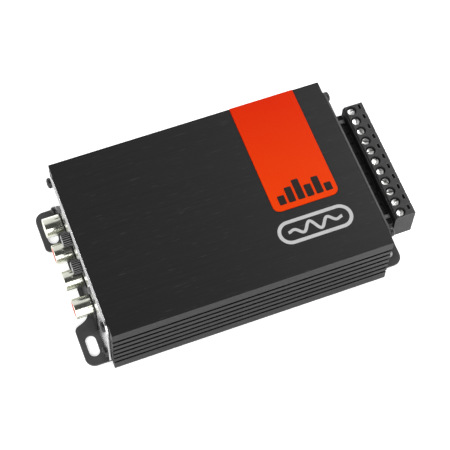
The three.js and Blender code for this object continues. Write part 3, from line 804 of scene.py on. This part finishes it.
def make_base_plate():
    quarter = ear_quarter()
    rim = []
    for a, b, flip in ((1, 1, False), (1, -1, True), (-1, -1, False), (-1, 1, True)):
        points = [(a * x, b * y) for x, y in quarter]
        rim += points[::-1] if flip else points
    loops = [rim]
    for a in (1, -1):
        for b in (1, -1):
            y = SLOT_BACK_Y if b > 0 else -SLOT_FRONT_Y
            loops.append(slot_loop(a * (BASE_HIGH.x - SLOT_INSET), y))
    for node in BASE_SCREWS:
        at = middle(node)
        loops.append(arc((at.x, at.y), BASE_SCREW_HOLE_RADIUS, 0, 345, 23))
    plate = link("base_plate_with_ears", plate_mesh(loops, BASE_LOW.z, BASE_HIGH.z, PLATE_EDGE))
    return finish_piece(plate, "case", "black_powder_coat", POWDER_BLACK, "base_plate")


def end_plate_rim(low, high, notch=None):
    """The rim in Y and Z, with square feet, round top corners and an optional notch from below."""
    r = PLATE_CORNER
    rim = arc((high.y - r, high.z - r), r, 0, 90) + arc((low.y + r, high.z - r), r, 90, 180)
    rim.append((low.y, low.z))
    if notch:
        left, right, top = notch
        rim += [(left, low.z), (left, top), (right, top), (right, low.z)]
    rim.append((high.y, low.z))
    return rim


def screw_holes(nodes):
    return [arc((middle(n).y, middle(n).z), PLATE_HOLE_RADIUS, 0, 345, 23) for n in nodes]


def make_input_plate():
    low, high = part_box("input_end_plate")
    notch = (BLOCK_LOW.y - CLEARANCE, BLOCK_HIGH.y + CLEARANCE, BLOCK_HIGH.z + CLEARANCE)
    loops = [end_plate_rim(low, high, notch)] + screw_holes(END_SCREWS[:4])
    loops += [arc((at.y, at.z), KNOB_HOLE_RADIUS, 0, 350, 35) for at in KNOBS]
    for node in ("filter_switch_body_1", "filter_switch_body_2"):
        y, z = middle(node).y, LEVERS[0].z
        wide, tall = LEVER_WINDOW_HALF
        loops.append(rectangle(y - wide, y + wide, z - tall, z + tall))
    plate = link("input_plate", plate_mesh(loops, low.x, high.x, PLATE_EDGE, "X"))
    return finish_piece(plate, "case", "satin_aluminium", SATIN_SILVER, "input_end_plate")


def make_output_plate():
    low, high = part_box("output_end_plate")
    gap = CLEARANCE
    window = rectangle(
        HEADER_LOW.y - gap, HEADER_HIGH.y + gap, HEADER_LOW.z - gap, HEADER_HIGH.z - LATCH_HEIGHT + gap
    )
    loops = [end_plate_rim(low, high), window] + screw_holes(END_SCREWS[4:])
    plate = link("output_plate", plate_mesh(loops, low.x, high.x, PLATE_EDGE, "X"))
    return finish_piece(plate, "case", "black_powder_coat", POWDER_BLACK, "output_end_plate")


def make_end_screws():
    """Pan-head screws with a cross recess."""
    for number, node in enumerate(END_SCREWS, 1):
        low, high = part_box(node)
        side = -1 if high.x < 0 else 1
        outer = low.x if side < 0 else high.x
        inner = high.x if side < 0 else low.x
        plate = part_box("input_end_plate" if side < 0 else "output_end_plate")
        seat = plate[0].x if side < 0 else plate[1].x
        radius = (high.y - low.y) / 2
        shank = END_SHANK_RADIUS
        depth = abs(seat - inner)
        head = abs(outer - seat) - 0.1 * MM
        profile = [(0, -depth), (shank * 0.6, -depth), (shank, 0.6 * MM - depth), (shank, 0)]
        profile += [(radius * 0.97, 0), (radius, 0.06 * MM), (radius, head * 0.42)]
        for i in range(1, 9):
            a = math.radians(90 * i / 8)
            profile.append((radius * (0.3 + 0.7 * math.cos(a)), head * (0.42 + 0.58 * math.sin(a))))
        profile.append((0, head))
        screw = link(f"end_screw_{number}", lathe_mesh(profile, 40))
        turn = Matrix.Rotation(math.radians(17 + 31 * number), 4, "Z")
        for a, b in (RECESS_HALF, RECESS_HALF[::-1]):
            arm = box_mesh((-a, -b, head - RECESS_DEPTH), (a, b, head + PAST))
            arm.transform(turn)
            carve(screw, arm)
        at = Vector((seat + side * 0.1 * MM, middle(node).y, middle(node).z))
        aimed(screw.data, at, (side, 0, 0))
        finish_piece(screw, "case", "black_screw", BLACK_ZINC, node)


def make_base_screws():
    """Flat screws with a hexagon socket, under the base plate."""
    for number, node in enumerate(BASE_SCREWS, 1):
        low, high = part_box(node)
        r = (high.x - low.x) / 2
        tall = high.z - low.z
        profile = [(0, 0), (r * 0.94, 0), (r, 0.1 * MM), (r, 0.9 * MM), (r * 0.55, 1.15 * MM)]
        profile += [(1.2 * MM, 1.25 * MM), (1.2 * MM, tall - 0.5 * MM), (0.7 * MM, tall), (0, tall)]
        screw = link(f"base_plate_screw_{number}", lathe_mesh(profile, 40))
        carve(screw, rod_mesh(0.95 * MM, -PAST, 0.65 * MM, 2, (0, 0, 0), 6))
        screw.data.transform(Matrix.Translation((middle(node).x, middle(node).y, low.z)))
        finish_piece(screw, "case", "black_screw", BLACK_ZINC, node)


# --- inputs ---


def make_jack_block():
    back = BLOCK_HIGH.x
    face = BLOCK_LOW.x
    lip = box_mesh((face, BLOCK_LOW.y, BLOCK_LOW.z), (CASE_LOW.x + 0.2 * MM, BLOCK_HIGH.y, BLOCK_HIGH.z))
    block = link("jack_block", lip)
    board_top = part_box("main_board")[1].z
    rear_low = (CASE_LOW.x - 0.1 * MM, BLOCK_LOW.y, board_top + 0.2 * MM)
    carve(block, box_mesh(rear_low, (back, BLOCK_HIGH.y, BLOCK_HIGH.z)), "UNION")
    bores = [rod_mesh(BLOCK_BORE, face - PAST, BLOCK_BORE_END_X, 0, at, 64) for at in JACKS]
    carve(block, merged(bores))
    grooves = []
    depth, half = BLOCK_GROOVE
    for a, b in zip(JACKS, JACKS[1:]):
        y = (a.y + b.y) / 2
        low = (face - PAST, y - half, BLOCK_GROOVE_Z[0])
        grooves.append(box_mesh(low, (face + depth, y + half, BLOCK_GROOVE_Z[1])))
    carve(block, merged(grooves))
    round_edges(block, 0.14 * MM)
    return finish_piece(block, "case", "black_nylon", BLOCK_PLASTIC, "phono_jack_block")


def make_jacks():
    """Turned shells with a rolled rim, plastic inserts and a sprung centre contact."""
    outer, bore, hole = SHELL_RADIUS, SHELL_BORE, INSERT_HOLE
    for number, at in enumerate(JACKS, 1):
        shell_low, shell_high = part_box(f"phono_jack_shell_{number}")
        reach = shell_high.x - shell_low.x
        profile = [(bore, 0), (outer, 0), (outer, reach - 0.35 * MM)]
        rim_middle = (outer + bore) / 2
        rim = (outer - bore) / 2
        for i in range(9):
            a = math.radians(180 * i / 8)
            profile.append((rim_middle + rim * math.cos(a), reach - rim + rim * math.sin(a)))
        profile.append((bore, 0))
        shell = link(f"jack_shell_{number}", lathe_mesh(profile, 72))
        aimed(shell.data, (shell_high.x, at.y, at.z), (-1, 0, 0))
        finish_piece(shell, "case", "bright_nickel", NICKEL, f"phono_jack_shell_{number}")

        tip = reach - 0.05 * MM
        r = bore - CLEARANCE
        profile = [(0, 0), (r, 0), (r, tip - 0.3 * MM), (r - 0.3 * MM, tip), (2.5 * MM, tip)]
        profile += [(2.35 * MM, tip - 0.35 * MM), (hole + 0.3 * MM, tip - 0.35 * MM)]
        profile += [(hole, tip - 0.6 * MM), (hole, reach - INSERT_DEPTH), (0, reach - INSERT_DEPTH)]
        insert = link(f"jack_insert_{number}", lathe_mesh(profile, 56))
        aimed(insert.data, (shell_high.x, at.y, at.z), (-1, 0, 0))
        white = number % 2 == 1
        slot = "white_plastic" if white else "red_plastic"
        plastic = WHITE_PLASTIC if white else RED_PLASTIC
        finish_piece(insert, "case", slot, plastic, f"phono_jack_insert_{number}")

        profile = [(1.3 * MM, 9 * MM), (1.58 * MM, 9 * MM), (1.58 * MM, tip - 1.4 * MM)]
        profile += [(1.45 * MM, tip - 1.2 * MM), (1.3 * MM, tip - 1.4 * MM), (1.3 * MM, 9 * MM)]
        contact = link(f"jack_contact_{number}", lathe_mesh(profile, 40))
        aimed(contact.data, (shell_high.x, at.y, at.z), (-1, 0, 0))
        finish_piece(contact, "case", "bright_nickel", CONTACT_BRASS)


def fluted_loop(radius, flutes, depth, steps=6):
    """A knurled outline: round ribs with narrow grooves between them."""
    out = []
    for i in range(flutes):
        for s in range(steps):
            t = s / steps
            wave = max(0.0, math.cos(2 * math.pi * t)) ** 1.5
            angle = (i + t) / flutes * 2 * math.pi
            r = radius - depth * wave
            out.append((r * math.cos(angle), r * math.sin(angle)))
    return out


def pointer_groove(radius, length):
    """The groove from near the middle of a knob's face out past its rim."""
    low = (-POINTER_HALF_WIDTH, 0.1 * MM, length - POINTER_DEPTH)
    return box_mesh(low, (POINTER_HALF_WIDTH, radius + PAST, length + PAST))


def make_knobs():
    """Small knurled knobs with a pale dial face and a pointer groove."""
    for number, at in enumerate(KNOBS, 1):
        node = f"gain_knob_{number}"
        low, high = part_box(node)
        radius = (high.y - low.y) / 2
        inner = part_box("input_end_plate")[0].x - 0.2 * MM
        length = inner - low.x
        flutes = fluted_loop(radius, KNOB_FLUTES, KNOB_FLUTE_DEPTH + KNOB_FLUTE_EXTRA, 10)
        grip = plate_mesh([flutes], 0, length - 0.12 * MM, 0.08 * MM)
        knob = link(f"knob_{number}", grip)
        shaft = rod_mesh(KNOB_SHAFT_RADIUS, 0.2 * MM - (high.x - inner), 0.2 * MM, 2, (0, 0, 0), 40)
        carve(knob, shaft, "UNION")
        carve(knob, pointer_groove(radius, length))
        to_panel = Matrix(((0, 0, -1, inner), (-1, 0, 0, at.y), (0, 1, 0, at.z), (0, 0, 0, 1)))
        knob.data.transform(to_panel)
        # the knurl's valleys get painted shade and its crests a painted highlight
        shaded_knurl = knurled(f"knob_plastic_{number}", at, radius - KNOB_FLUTE_DEPTH, radius)
        finish_piece(knob, f"knob_{number}", "black_control", shaded_knurl, node)

        top = length - 0.005 * MM
        face = radius - 0.5 * MM
        profile = [(0, top - 0.3 * MM), (face, top - 0.3 * MM), (face, top - 0.06 * MM)]
        profile += [(face - 0.06 * MM, top), (0, top)]
        cap = link(f"knob_face_{number}", lathe_mesh(profile, 56))
        carve(cap, pointer_groove(radius, length))
        cap.data.transform(to_panel)
        finish_piece(cap, f"knob_{number}", "satin_aluminium", SPUN_ALUMINIUM)


def make_levers():
    """Slide levers with finger ridges across their tips."""
    for number in (1, 2):
        node = f"filter_switch_lever_{number}"
        low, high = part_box(node)
        lever = link(f"switch_lever_{number}", box_mesh(low, high))
        ridges = []
        for i in range(3):
            y, half = low.y + (i + 0.5) * (high.y - low.y) / 3, 0.16 * MM
            ridge_low = (low.x - PAST, y - half, low.z - PAST)
            ridges.append(box_mesh(ridge_low, (low.x + 0.3 * MM, y + half, high.z + PAST)))
        carve(lever, merged(ridges))
        round_edges(lever, 0.08 * MM)
        finish_piece(lever, f"lever_{number}", "grey_control", GREY_PLASTIC, node)


# --- terminals ---


def make_header():
    """The board header: an open shroud with a row of square pins and two latch ribs."""
    top = HEADER_HIGH.z - LATCH_HEIGHT
    front = HEADER_HIGH.x
    header = link("header_shroud", box_mesh(HEADER_LOW, (front, HEADER_HIGH.y, top)))
    cavity_y = NOSE_Y + CLEARANCE
    cavity_z = (NOSE_Z[0] - CLEARANCE, NOSE_Z[1] + CLEARANCE)
    low = (HEADER_CAVITY_X, -cavity_y, cavity_z[0])
    carve(header, box_mesh(low, (front + PAST, cavity_y, cavity_z[1])))
    grooves = []
    for at in CLAMP_SCREWS[:-1]:
        y = at.y - WAY_PITCH / 2
        low = (HEADER_GROOVE_X, y - HEADER_GROOVE, top - HEADER_GROOVE)
        grooves.append(box_mesh(low, (front + PAST, y + HEADER_GROOVE, top + PAST)))
    carve(header, merged(grooves))
    round_edges(header, 0.1 * MM)
    finish_piece(header, "case", "black_nylon", BLOCK_PLASTIC, "terminal_header")
    # the latch ribs carry a painted highlight: lighter grey than the header's nylon
    for number, y in enumerate((LATCH_Y, -LATCH_Y), 1):
        low = (front - LATCH_LENGTH, y - LATCH_HALF_WIDTH, top - 0.01 * MM)
        high = (front, y + LATCH_HALF_WIDTH, HEADER_HIGH.z)
        name = f"header_latch_rib_{number}"
        small_box(name, low, high, 0.12 * MM, "case", "black_nylon", LATCH_HIGHLIGHT_PLASTIC)
    half = 0.5 * MM
    for number, at in enumerate(CLAMP_SCREWS, 1):
        low = (CONTACT_X[0], at.y - half, CONTACT_Z - half)
        high = (CONTACT_X[1], at.y + half, CONTACT_Z + half)
        small_box(f"header_pin_{number}", low, high, 0.22 * MM, "case", "bright_nickel", SCREW_NICKEL)


def plug_section():
    """The housing's outline in X and Z, with the ledge along its inner top edge."""
    far, low, high = PLUG_HIGH.x, PLUG_LOW.z, PLUG_HIGH.z
    near = PLUG_NEAR_X
    return [
        (near, low),
        (far, low),
        (far, high),
        (near + PLUG_LEDGE + PLUG_CHAMFER, high),
        (near + PLUG_LEDGE, high - PLUG_CHAMFER),
        (near + PLUG_LEDGE, high - PLUG_STEP),
        (near, high - PLUG_STEP),
    ]


def extruded(outline, low, high):
    """An outline in X and Z, extruded along Y."""
    count = len(outline)
    points = [(x, y, z) for y in (low, high) for x, z in outline]
    sides = [(i, (i + 1) % count, count + (i + 1) % count, count + i) for i in range(count)]
    caps = [tuple(range(count)), tuple(range(2 * count - 1, count - 1, -1))]
    return tidy_mesh(mesh_from("extruded", points, sides + caps))


def well_mesh(at):
    """A screw well with a countersunk mouth."""
    top = PLUG_HIGH.z
    mouth = WELL_RADIUS + 0.25 * MM
    profile = [(0, WELL_BOTTOM), (WELL_RADIUS, WELL_BOTTOM), (WELL_RADIUS, top - 0.25 * MM)]
    profile += [(mouth, top), (mouth, top + PAST), (0, top + PAST)]
    mesh = lathe_mesh(profile, 56)
    mesh.transform(Matrix.Translation((at.x, at.y, 0)))
    return mesh


def make_plug():
    """The pluggable terminal: wells and probe pockets above, wire entries outside, sockets inside."""
    plug = link("plug_housing", extruded(plug_section(), PLUG_LOW.y, PLUG_HIGH.y))
    nose = box_mesh((PLUG_LOW.x, -NOSE_Y, NOSE_Z[0]), (PLUG_NEAR_X + PAST, NOSE_Y, NOSE_Z[1]))
    carve(plug, nose, "UNION")
    wells, pockets, entries, sockets, grooves = [], [], [], [], []
    above = PLUG_HIGH.z + PAST
    outside = PLUG_HIGH.x + PAST
    for at in CLAMP_SCREWS:
        wells.append(well_mesh(at))
        x, y = at.x + POCKET_OFFSET[0], at.y + POCKET_OFFSET[1]
        a, b, depth = POCKET_SIZE[0] / 2, POCKET_SIZE[1] / 2, POCKET_SIZE[2]
        pockets.append(box_mesh((x - a, y - b, PLUG_HIGH.z - depth), (x + a, y + b, above)))
        e = ENTRY_HALF_WIDTH
        entries.append(box_mesh((at.x - 2 * MM, at.y - e, ENTRY_Z[0]), (outside, at.y + e, ENTRY_Z[1])))
        s = SOCKET_HALF
        low = (PLUG_LOW.x - PAST, at.y - s, CONTACT_Z - s)
        sockets.append(box_mesh(low, (SOCKET_BACK_X, at.y + s, CONTACT_Z + s)))
    for at in CLAMP_SCREWS[:-1]:
        y, (depth, half) = at.y - WAY_PITCH / 2, WAY_GROOVE
        low = (PLUG_HIGH.x - depth, y - half, PLUG_LOW.z - PAST)
        grooves.append(box_mesh(low, (outside, y + half, above)))
    for group in (wells, pockets, entries, sockets, grooves):
        carve(plug, merged(group))
    round_edges(plug, 0.08 * MM)
    finish_piece(plug, "plug", "black_nylon", NYLON, "terminal_plug")
    for number, at in enumerate(CLAMP_SCREWS, 1):
        make_clamp_cage(number, at)


def make_clamp_cage(number, at):
    """The metal cage that grips the wire, just inside its entry."""
    half, wall = ENTRY_HALF_WIDTH - 0.25 * MM, 0.4 * MM
    low, high = ENTRY_Z[0] + 0.3 * MM, ENTRY_Z[1] - 0.3 * MM
    cage = link(
        f"clamp_cage_{number}",
        box_mesh((at.x - 1.6 * MM, at.y - half, low), (at.x + 2.6 * MM, at.y + half, high)),
    )
    inner = half - wall
    hollow_low = (at.x - 3 * MM, at.y - inner, low + wall)
    carve(cage, box_mesh(hollow_low, (at.x + 4 * MM, at.y + inner, high - wall)))
    round_edges(cage, 0.08 * MM)
    finish_piece(cage, "plug", "bright_nickel", SCREW_NICKEL)


def make_clamp_screws():
    """Slotted screws with dished heads, each stopped at its own angle."""
    for number, at in enumerate(CLAMP_SCREWS, 1):
        node = f"terminal_screw_{number}"
        low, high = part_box(node)
        r = (high.x - low.x) / 2
        tall = high.z - low.z
        profile = [(0, 0), (r * 0.8, 0), (r * 0.8, tall * 0.45), (r, tall * 0.5), (r, tall - 0.28 * MM)]
        profile += [(r - 0.08 * MM, tall - 0.1 * MM), (r - 0.3 * MM, tall), (0, tall - 0.2 * MM)]
        screw = link(f"clamp_screw_{number}", lathe_mesh(profile, 48))
        slot = box_mesh((-3 * MM, -0.3 * MM, tall - 0.75 * MM), (3 * MM, 0.3 * MM, tall + PAST))
        slot.transform(Matrix.Rotation((number - 1) * 0.7 + 0.5, 4, "Z"))
        carve(screw, slot)
        round_edges(screw, 0.05 * MM, angle=50)
        screw.data.transform(Matrix.Translation((at.x, at.y, low.z)))
        finish_piece(screw, f"clamp_screw_{number}", "bright_nickel", SCREW_NICKEL, node)


# --- printed marks ---


def printed(name, loops, low, thick, slot, material, across="Z"):
    mark = link(name, plate_mesh(loops, low, low + thick, 0.004 * MM, across))
    return finish_piece(mark, "case", slot, material)


def capsule_loop(x0, x1, y0, y1):
    r = (y1 - y0) / 2
    return arc((x1 - r, y0 + r), r, -90, 90, 16) + arc((x0 + r, y0 + r), r, 90, 270, 16)


def wave_loop(x0, x1, y, height, stroke, cycles):
    """A sine band of even stroke."""
    steps = 60
    upper, lower = [], []
    for i in range(steps + 1):
        t = i / steps
        x = x0 + (x1 - x0) * t
        phase = 2 * math.pi * cycles * t
        fade = math.sin(math.pi * t)
        centre = y + height * fade * math.sin(phase)
        slope = height * fade * math.cos(phase) * 2 * math.pi * cycles / (x1 - x0)
        length = math.hypot(1, slope)
        dx, dy = -slope / length * stroke / 2, stroke / length / 2
        upper.append((x + dx, centre + dy))
        lower.append((x - dx, centre - dy))
    return upper + lower[::-1]


def make_prints():
    """A plain level meter on the inlay and a plain wave in a capsule on the case."""
    ink_low = INLAY_HIGH.z - 0.065 * MM
    levels = (0.45, 0.75, 1.0, 0.6, 0.85, 0.4)
    left = INLAY_LOW.x + 3.2 * MM
    width, gap, tall = 3.0 * MM, 1.0 * MM, 9.4 * MM
    bottom = INLAY_LOW.y + 2.4 * MM
    for number, level in enumerate(levels, 1):
        x = left + (number - 1) * (width + gap)
        bar = rounded_loop(rectangle(x, x + width, bottom, bottom + tall * level), 0.5 * MM)
        printed(f"level_bar_{number}", [bar], ink_low, 0.06 * MM, "black_control", BLACK_INK)
    x0, x1 = INLAY_LOW.x - 2.6 * MM, INLAY_HIGH.x + 1.2 * MM
    y0, y1 = INLAY_LOW.y - 15.2 * MM, INLAY_LOW.y - 4.6 * MM
    stroke = 1.5 * MM
    ring = [capsule_loop(x0, x1, y0, y1), capsule_loop(x0 + stroke, x1 - stroke, y0 + stroke, y1 - stroke)]
    silver_low = CASE_HIGH.z - 0.005 * MM
    printed("capsule_mark", ring, silver_low, 0.05 * MM, "satin_aluminium", SILVER_INK)
    wave = wave_loop(x0 + 4.4 * MM, x1 - 4.4 * MM, (y0 + y1) / 2, 2.3 * MM, 1.3 * MM, 3)
    printed("wave_mark", [wave], silver_low, 0.05 * MM, "satin_aluminium", SILVER_INK)


def make_panel_prints():
    """Dial ticks round each knob, longest at the middle."""
    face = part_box("input_end_plate")[0].x
    number = 0
    for at in KNOBS:
        for i in range(-DIAL_TICKS, DIAL_TICKS + 1):
            angle = math.radians(90 + DIAL_STEP * i)
            number += 1
            inner, outer, half = TICK_START, TICK_END if i else MIDDLE_TICK_END, TICK_HALF_WIDTH
            along = Vector((math.cos(angle), math.sin(angle)))
            side = Vector((-along.y, along.x)) * half
            centre = Vector((at.y, at.z))
            loop = [centre + along * inner - side, centre + along * outer - side]
            loop += [centre + along * outer + side, centre + along * inner + side]
            name = f"dial_tick_{number}"
            printed(name, [loop], face - 0.03 * MM, 0.04 * MM, "black_control", BLACK_INK, "X")


# --- inside ---


def make_choke():
    """A coated ring wound with enamelled wire."""
    low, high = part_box("power_choke")
    at = (low + high) / 2
    outer, inner = (high.x - low.x) / 2 - 0.9 * MM, 5.9 * MM
    tall = high.z - low.z
    base, top = 0.9 * MM, tall - 0.9 * MM
    loop = rounded_loop([(inner, base), (outer, base), (outer, top), (inner, top)], 0.8 * MM)
    ring = link("choke_core", lathe_mesh([tuple(p) for p in loop] + [tuple(loop[0])], 64))
    ring.data.transform(Matrix.Translation((at.x, at.y, low.z)))
    finish_piece(ring, "case", "ferrite", CORE, "power_choke")
    turns, steps = 22, 24
    half_r, half_z = (outer - inner) / 2 + 0.5 * MM, (top - base) / 2 + 0.5 * MM
    curve = bpy.data.curves.new("winding", "CURVE")
    curve.dimensions = "3D"
    curve.bevel_depth = 0.38 * MM
    curve.bevel_resolution = 3
    curve.use_fill_caps = True
    spline = curve.splines.new("POLY")
    count = turns * steps
    spline.points.add(count - 1)
    for i in range(count):
        round_core = 2 * math.pi * i / steps
        round_ring = math.radians(320) * i / count
        power = 0.55
        c, s = math.cos(round_core), math.sin(round_core)
        r = (outer + inner) / 2 + half_r * math.copysign(abs(c) ** power, c)
        z = tall / 2 + half_z * math.copysign(abs(s) ** power, s)
        spline.points[i].co = (at.x + r * math.cos(round_ring), at.y + r * math.sin(round_ring), low.z + z, 1)
    obj = link("choke_winding", curve)
    mesh = evaluated_mesh(obj)
    bpy.data.objects.remove(obj)
    winding = link("choke_winding", tidy_mesh(mesh))
    finish_piece(winding, "case", "ferrite", COPPER)


def make_capacitors():
    """Sleeved cans with a crimped neck and a sunken top."""
    for number in (1, 2, 3):
        node = f"filter_capacitor_{number}"
        low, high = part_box(node)
        at = (low + high) / 2
        r, tall = (high.x - low.x) / 2, high.z - low.z
        profile = [(0, 0), (r - 0.3 * MM, 0), (r, 0.3 * MM), (r, 1.6 * MM), (r - 0.45 * MM, 2.1 * MM)]
        profile += [(r, 2.6 * MM), (r, tall - 0.5 * MM), (r - 0.5 * MM, tall)]
        profile += [(r - 0.9 * MM, tall - 0.05 * MM), (r - 0.95 * MM, tall - 0.2 * MM), (0, tall - 0.2 * MM)]
        can = link(f"capacitor_{number}", lathe_mesh(profile, 48))
        can.data.transform(Matrix.Translation((at.x, at.y, low.z)))
        finish_piece(can, "case", "capacitor_sleeve", SLEEVE, node)


def make_inside():
    make_choke()
    make_capacitors()
    for node in ("main_board", "control_board"):
        bevelled_node(node, "case", "green_board", SOLDER_MASK, 0.1 * MM)
    for number in range(1, 5):
        bevelled_node(f"power_transistor_{number}", "case", "epoxy", EPOXY)
    bevelled_node("transistor_clamp_bar", "case", "spring_steel", STEEL)
    bevelled_node("thermal_pad", "case", "silicone_pad", SILICONE, 0.1 * MM)
    for number in (1, 2):
        bevelled_node(f"gain_pot_body_{number}", "case", "black_control", KNOB_PLASTIC)
        bevelled_node(f"filter_switch_body_{number}", "case", "black_control", KNOB_PLASTIC)


# --- stage ---


def make_camera():
    camera = bpy.data.objects.new("camera", bpy.data.cameras.new("camera"))
    bpy.context.scene.collection.objects.link(camera)
    back = -CAMERA_FORWARD.normalized()
    right = (CAMERA_RIGHT - CAMERA_RIGHT.project(back)).normalized()
    up = back.cross(right)
    camera.matrix_world = Matrix.Translation(CAMERA_AT) @ Matrix((right, up, back)).transposed().to_4x4()
    camera.data.lens = CAMERA_LENS
    camera.data.sensor_width = 36
    camera.data.clip_start = 0.01
    bpy.context.scene.camera = camera


def make_floor():
    corners = [(x, y, -FLOOR_GAP) for x, y in rectangle(-FLOOR_REACH, FLOOR_REACH, -FLOOR_REACH, FLOOR_REACH)]
    mesh = mesh_from("floor", corners, [(0, 1, 2, 3)])
    floor = link("floor", mesh)
    mesh.materials.append(floor_white())


def make_world():
    """A white room with one large dark panel hung over the camera."""
    world = bpy.data.worlds.new("studio")
    bpy.context.scene.world = world
    world.use_nodes = True
    tree = Nodes(world.node_tree)
    direction = tree.coordinates.outputs["Generated"]
    towards = tree.vector("DOT_PRODUCT", direction, -CAMERA_FORWARD.normalized(), "Value")
    tones = tree.ramp(towards, [(at, grey(value)) for at, value in ROOM_TONES])
    background = tree.nodes["Background"]
    tree.links.new(tones, background.inputs["Color"])
    background.inputs["Strength"].default_value = 1.0


def softbox(name, at, aim, size, power):
    light = bpy.data.lights.new(name, "AREA")
    light.shape = "RECTANGLE"
    light.size, light.size_y = size
    light.energy = power
    obj = bpy.data.objects.new(name, light)
    bpy.context.scene.collection.objects.link(obj)
    obj.location = at
    obj.rotation_euler = (Vector(aim) - Vector(at)).to_track_quat("-Z", "Y").to_euler()


def make_lights():
    for light in SOFTBOXES:
        softbox(*light)


def main():
    make_camera()
    make_case()
    make_inlay()
    make_base_plate()
    make_input_plate()
    make_output_plate()
    make_end_screws()
    make_base_screws()
    make_jack_block()
    make_jacks()
    make_knobs()
    make_levers()
    make_header()
    make_plug()
    make_clamp_screws()
    make_prints()
    make_panel_prints()
    make_inside()
    make_floor()
    make_world()
    make_lights()
    bpy.context.scene.view_settings.view_transform = "Standard"


main()
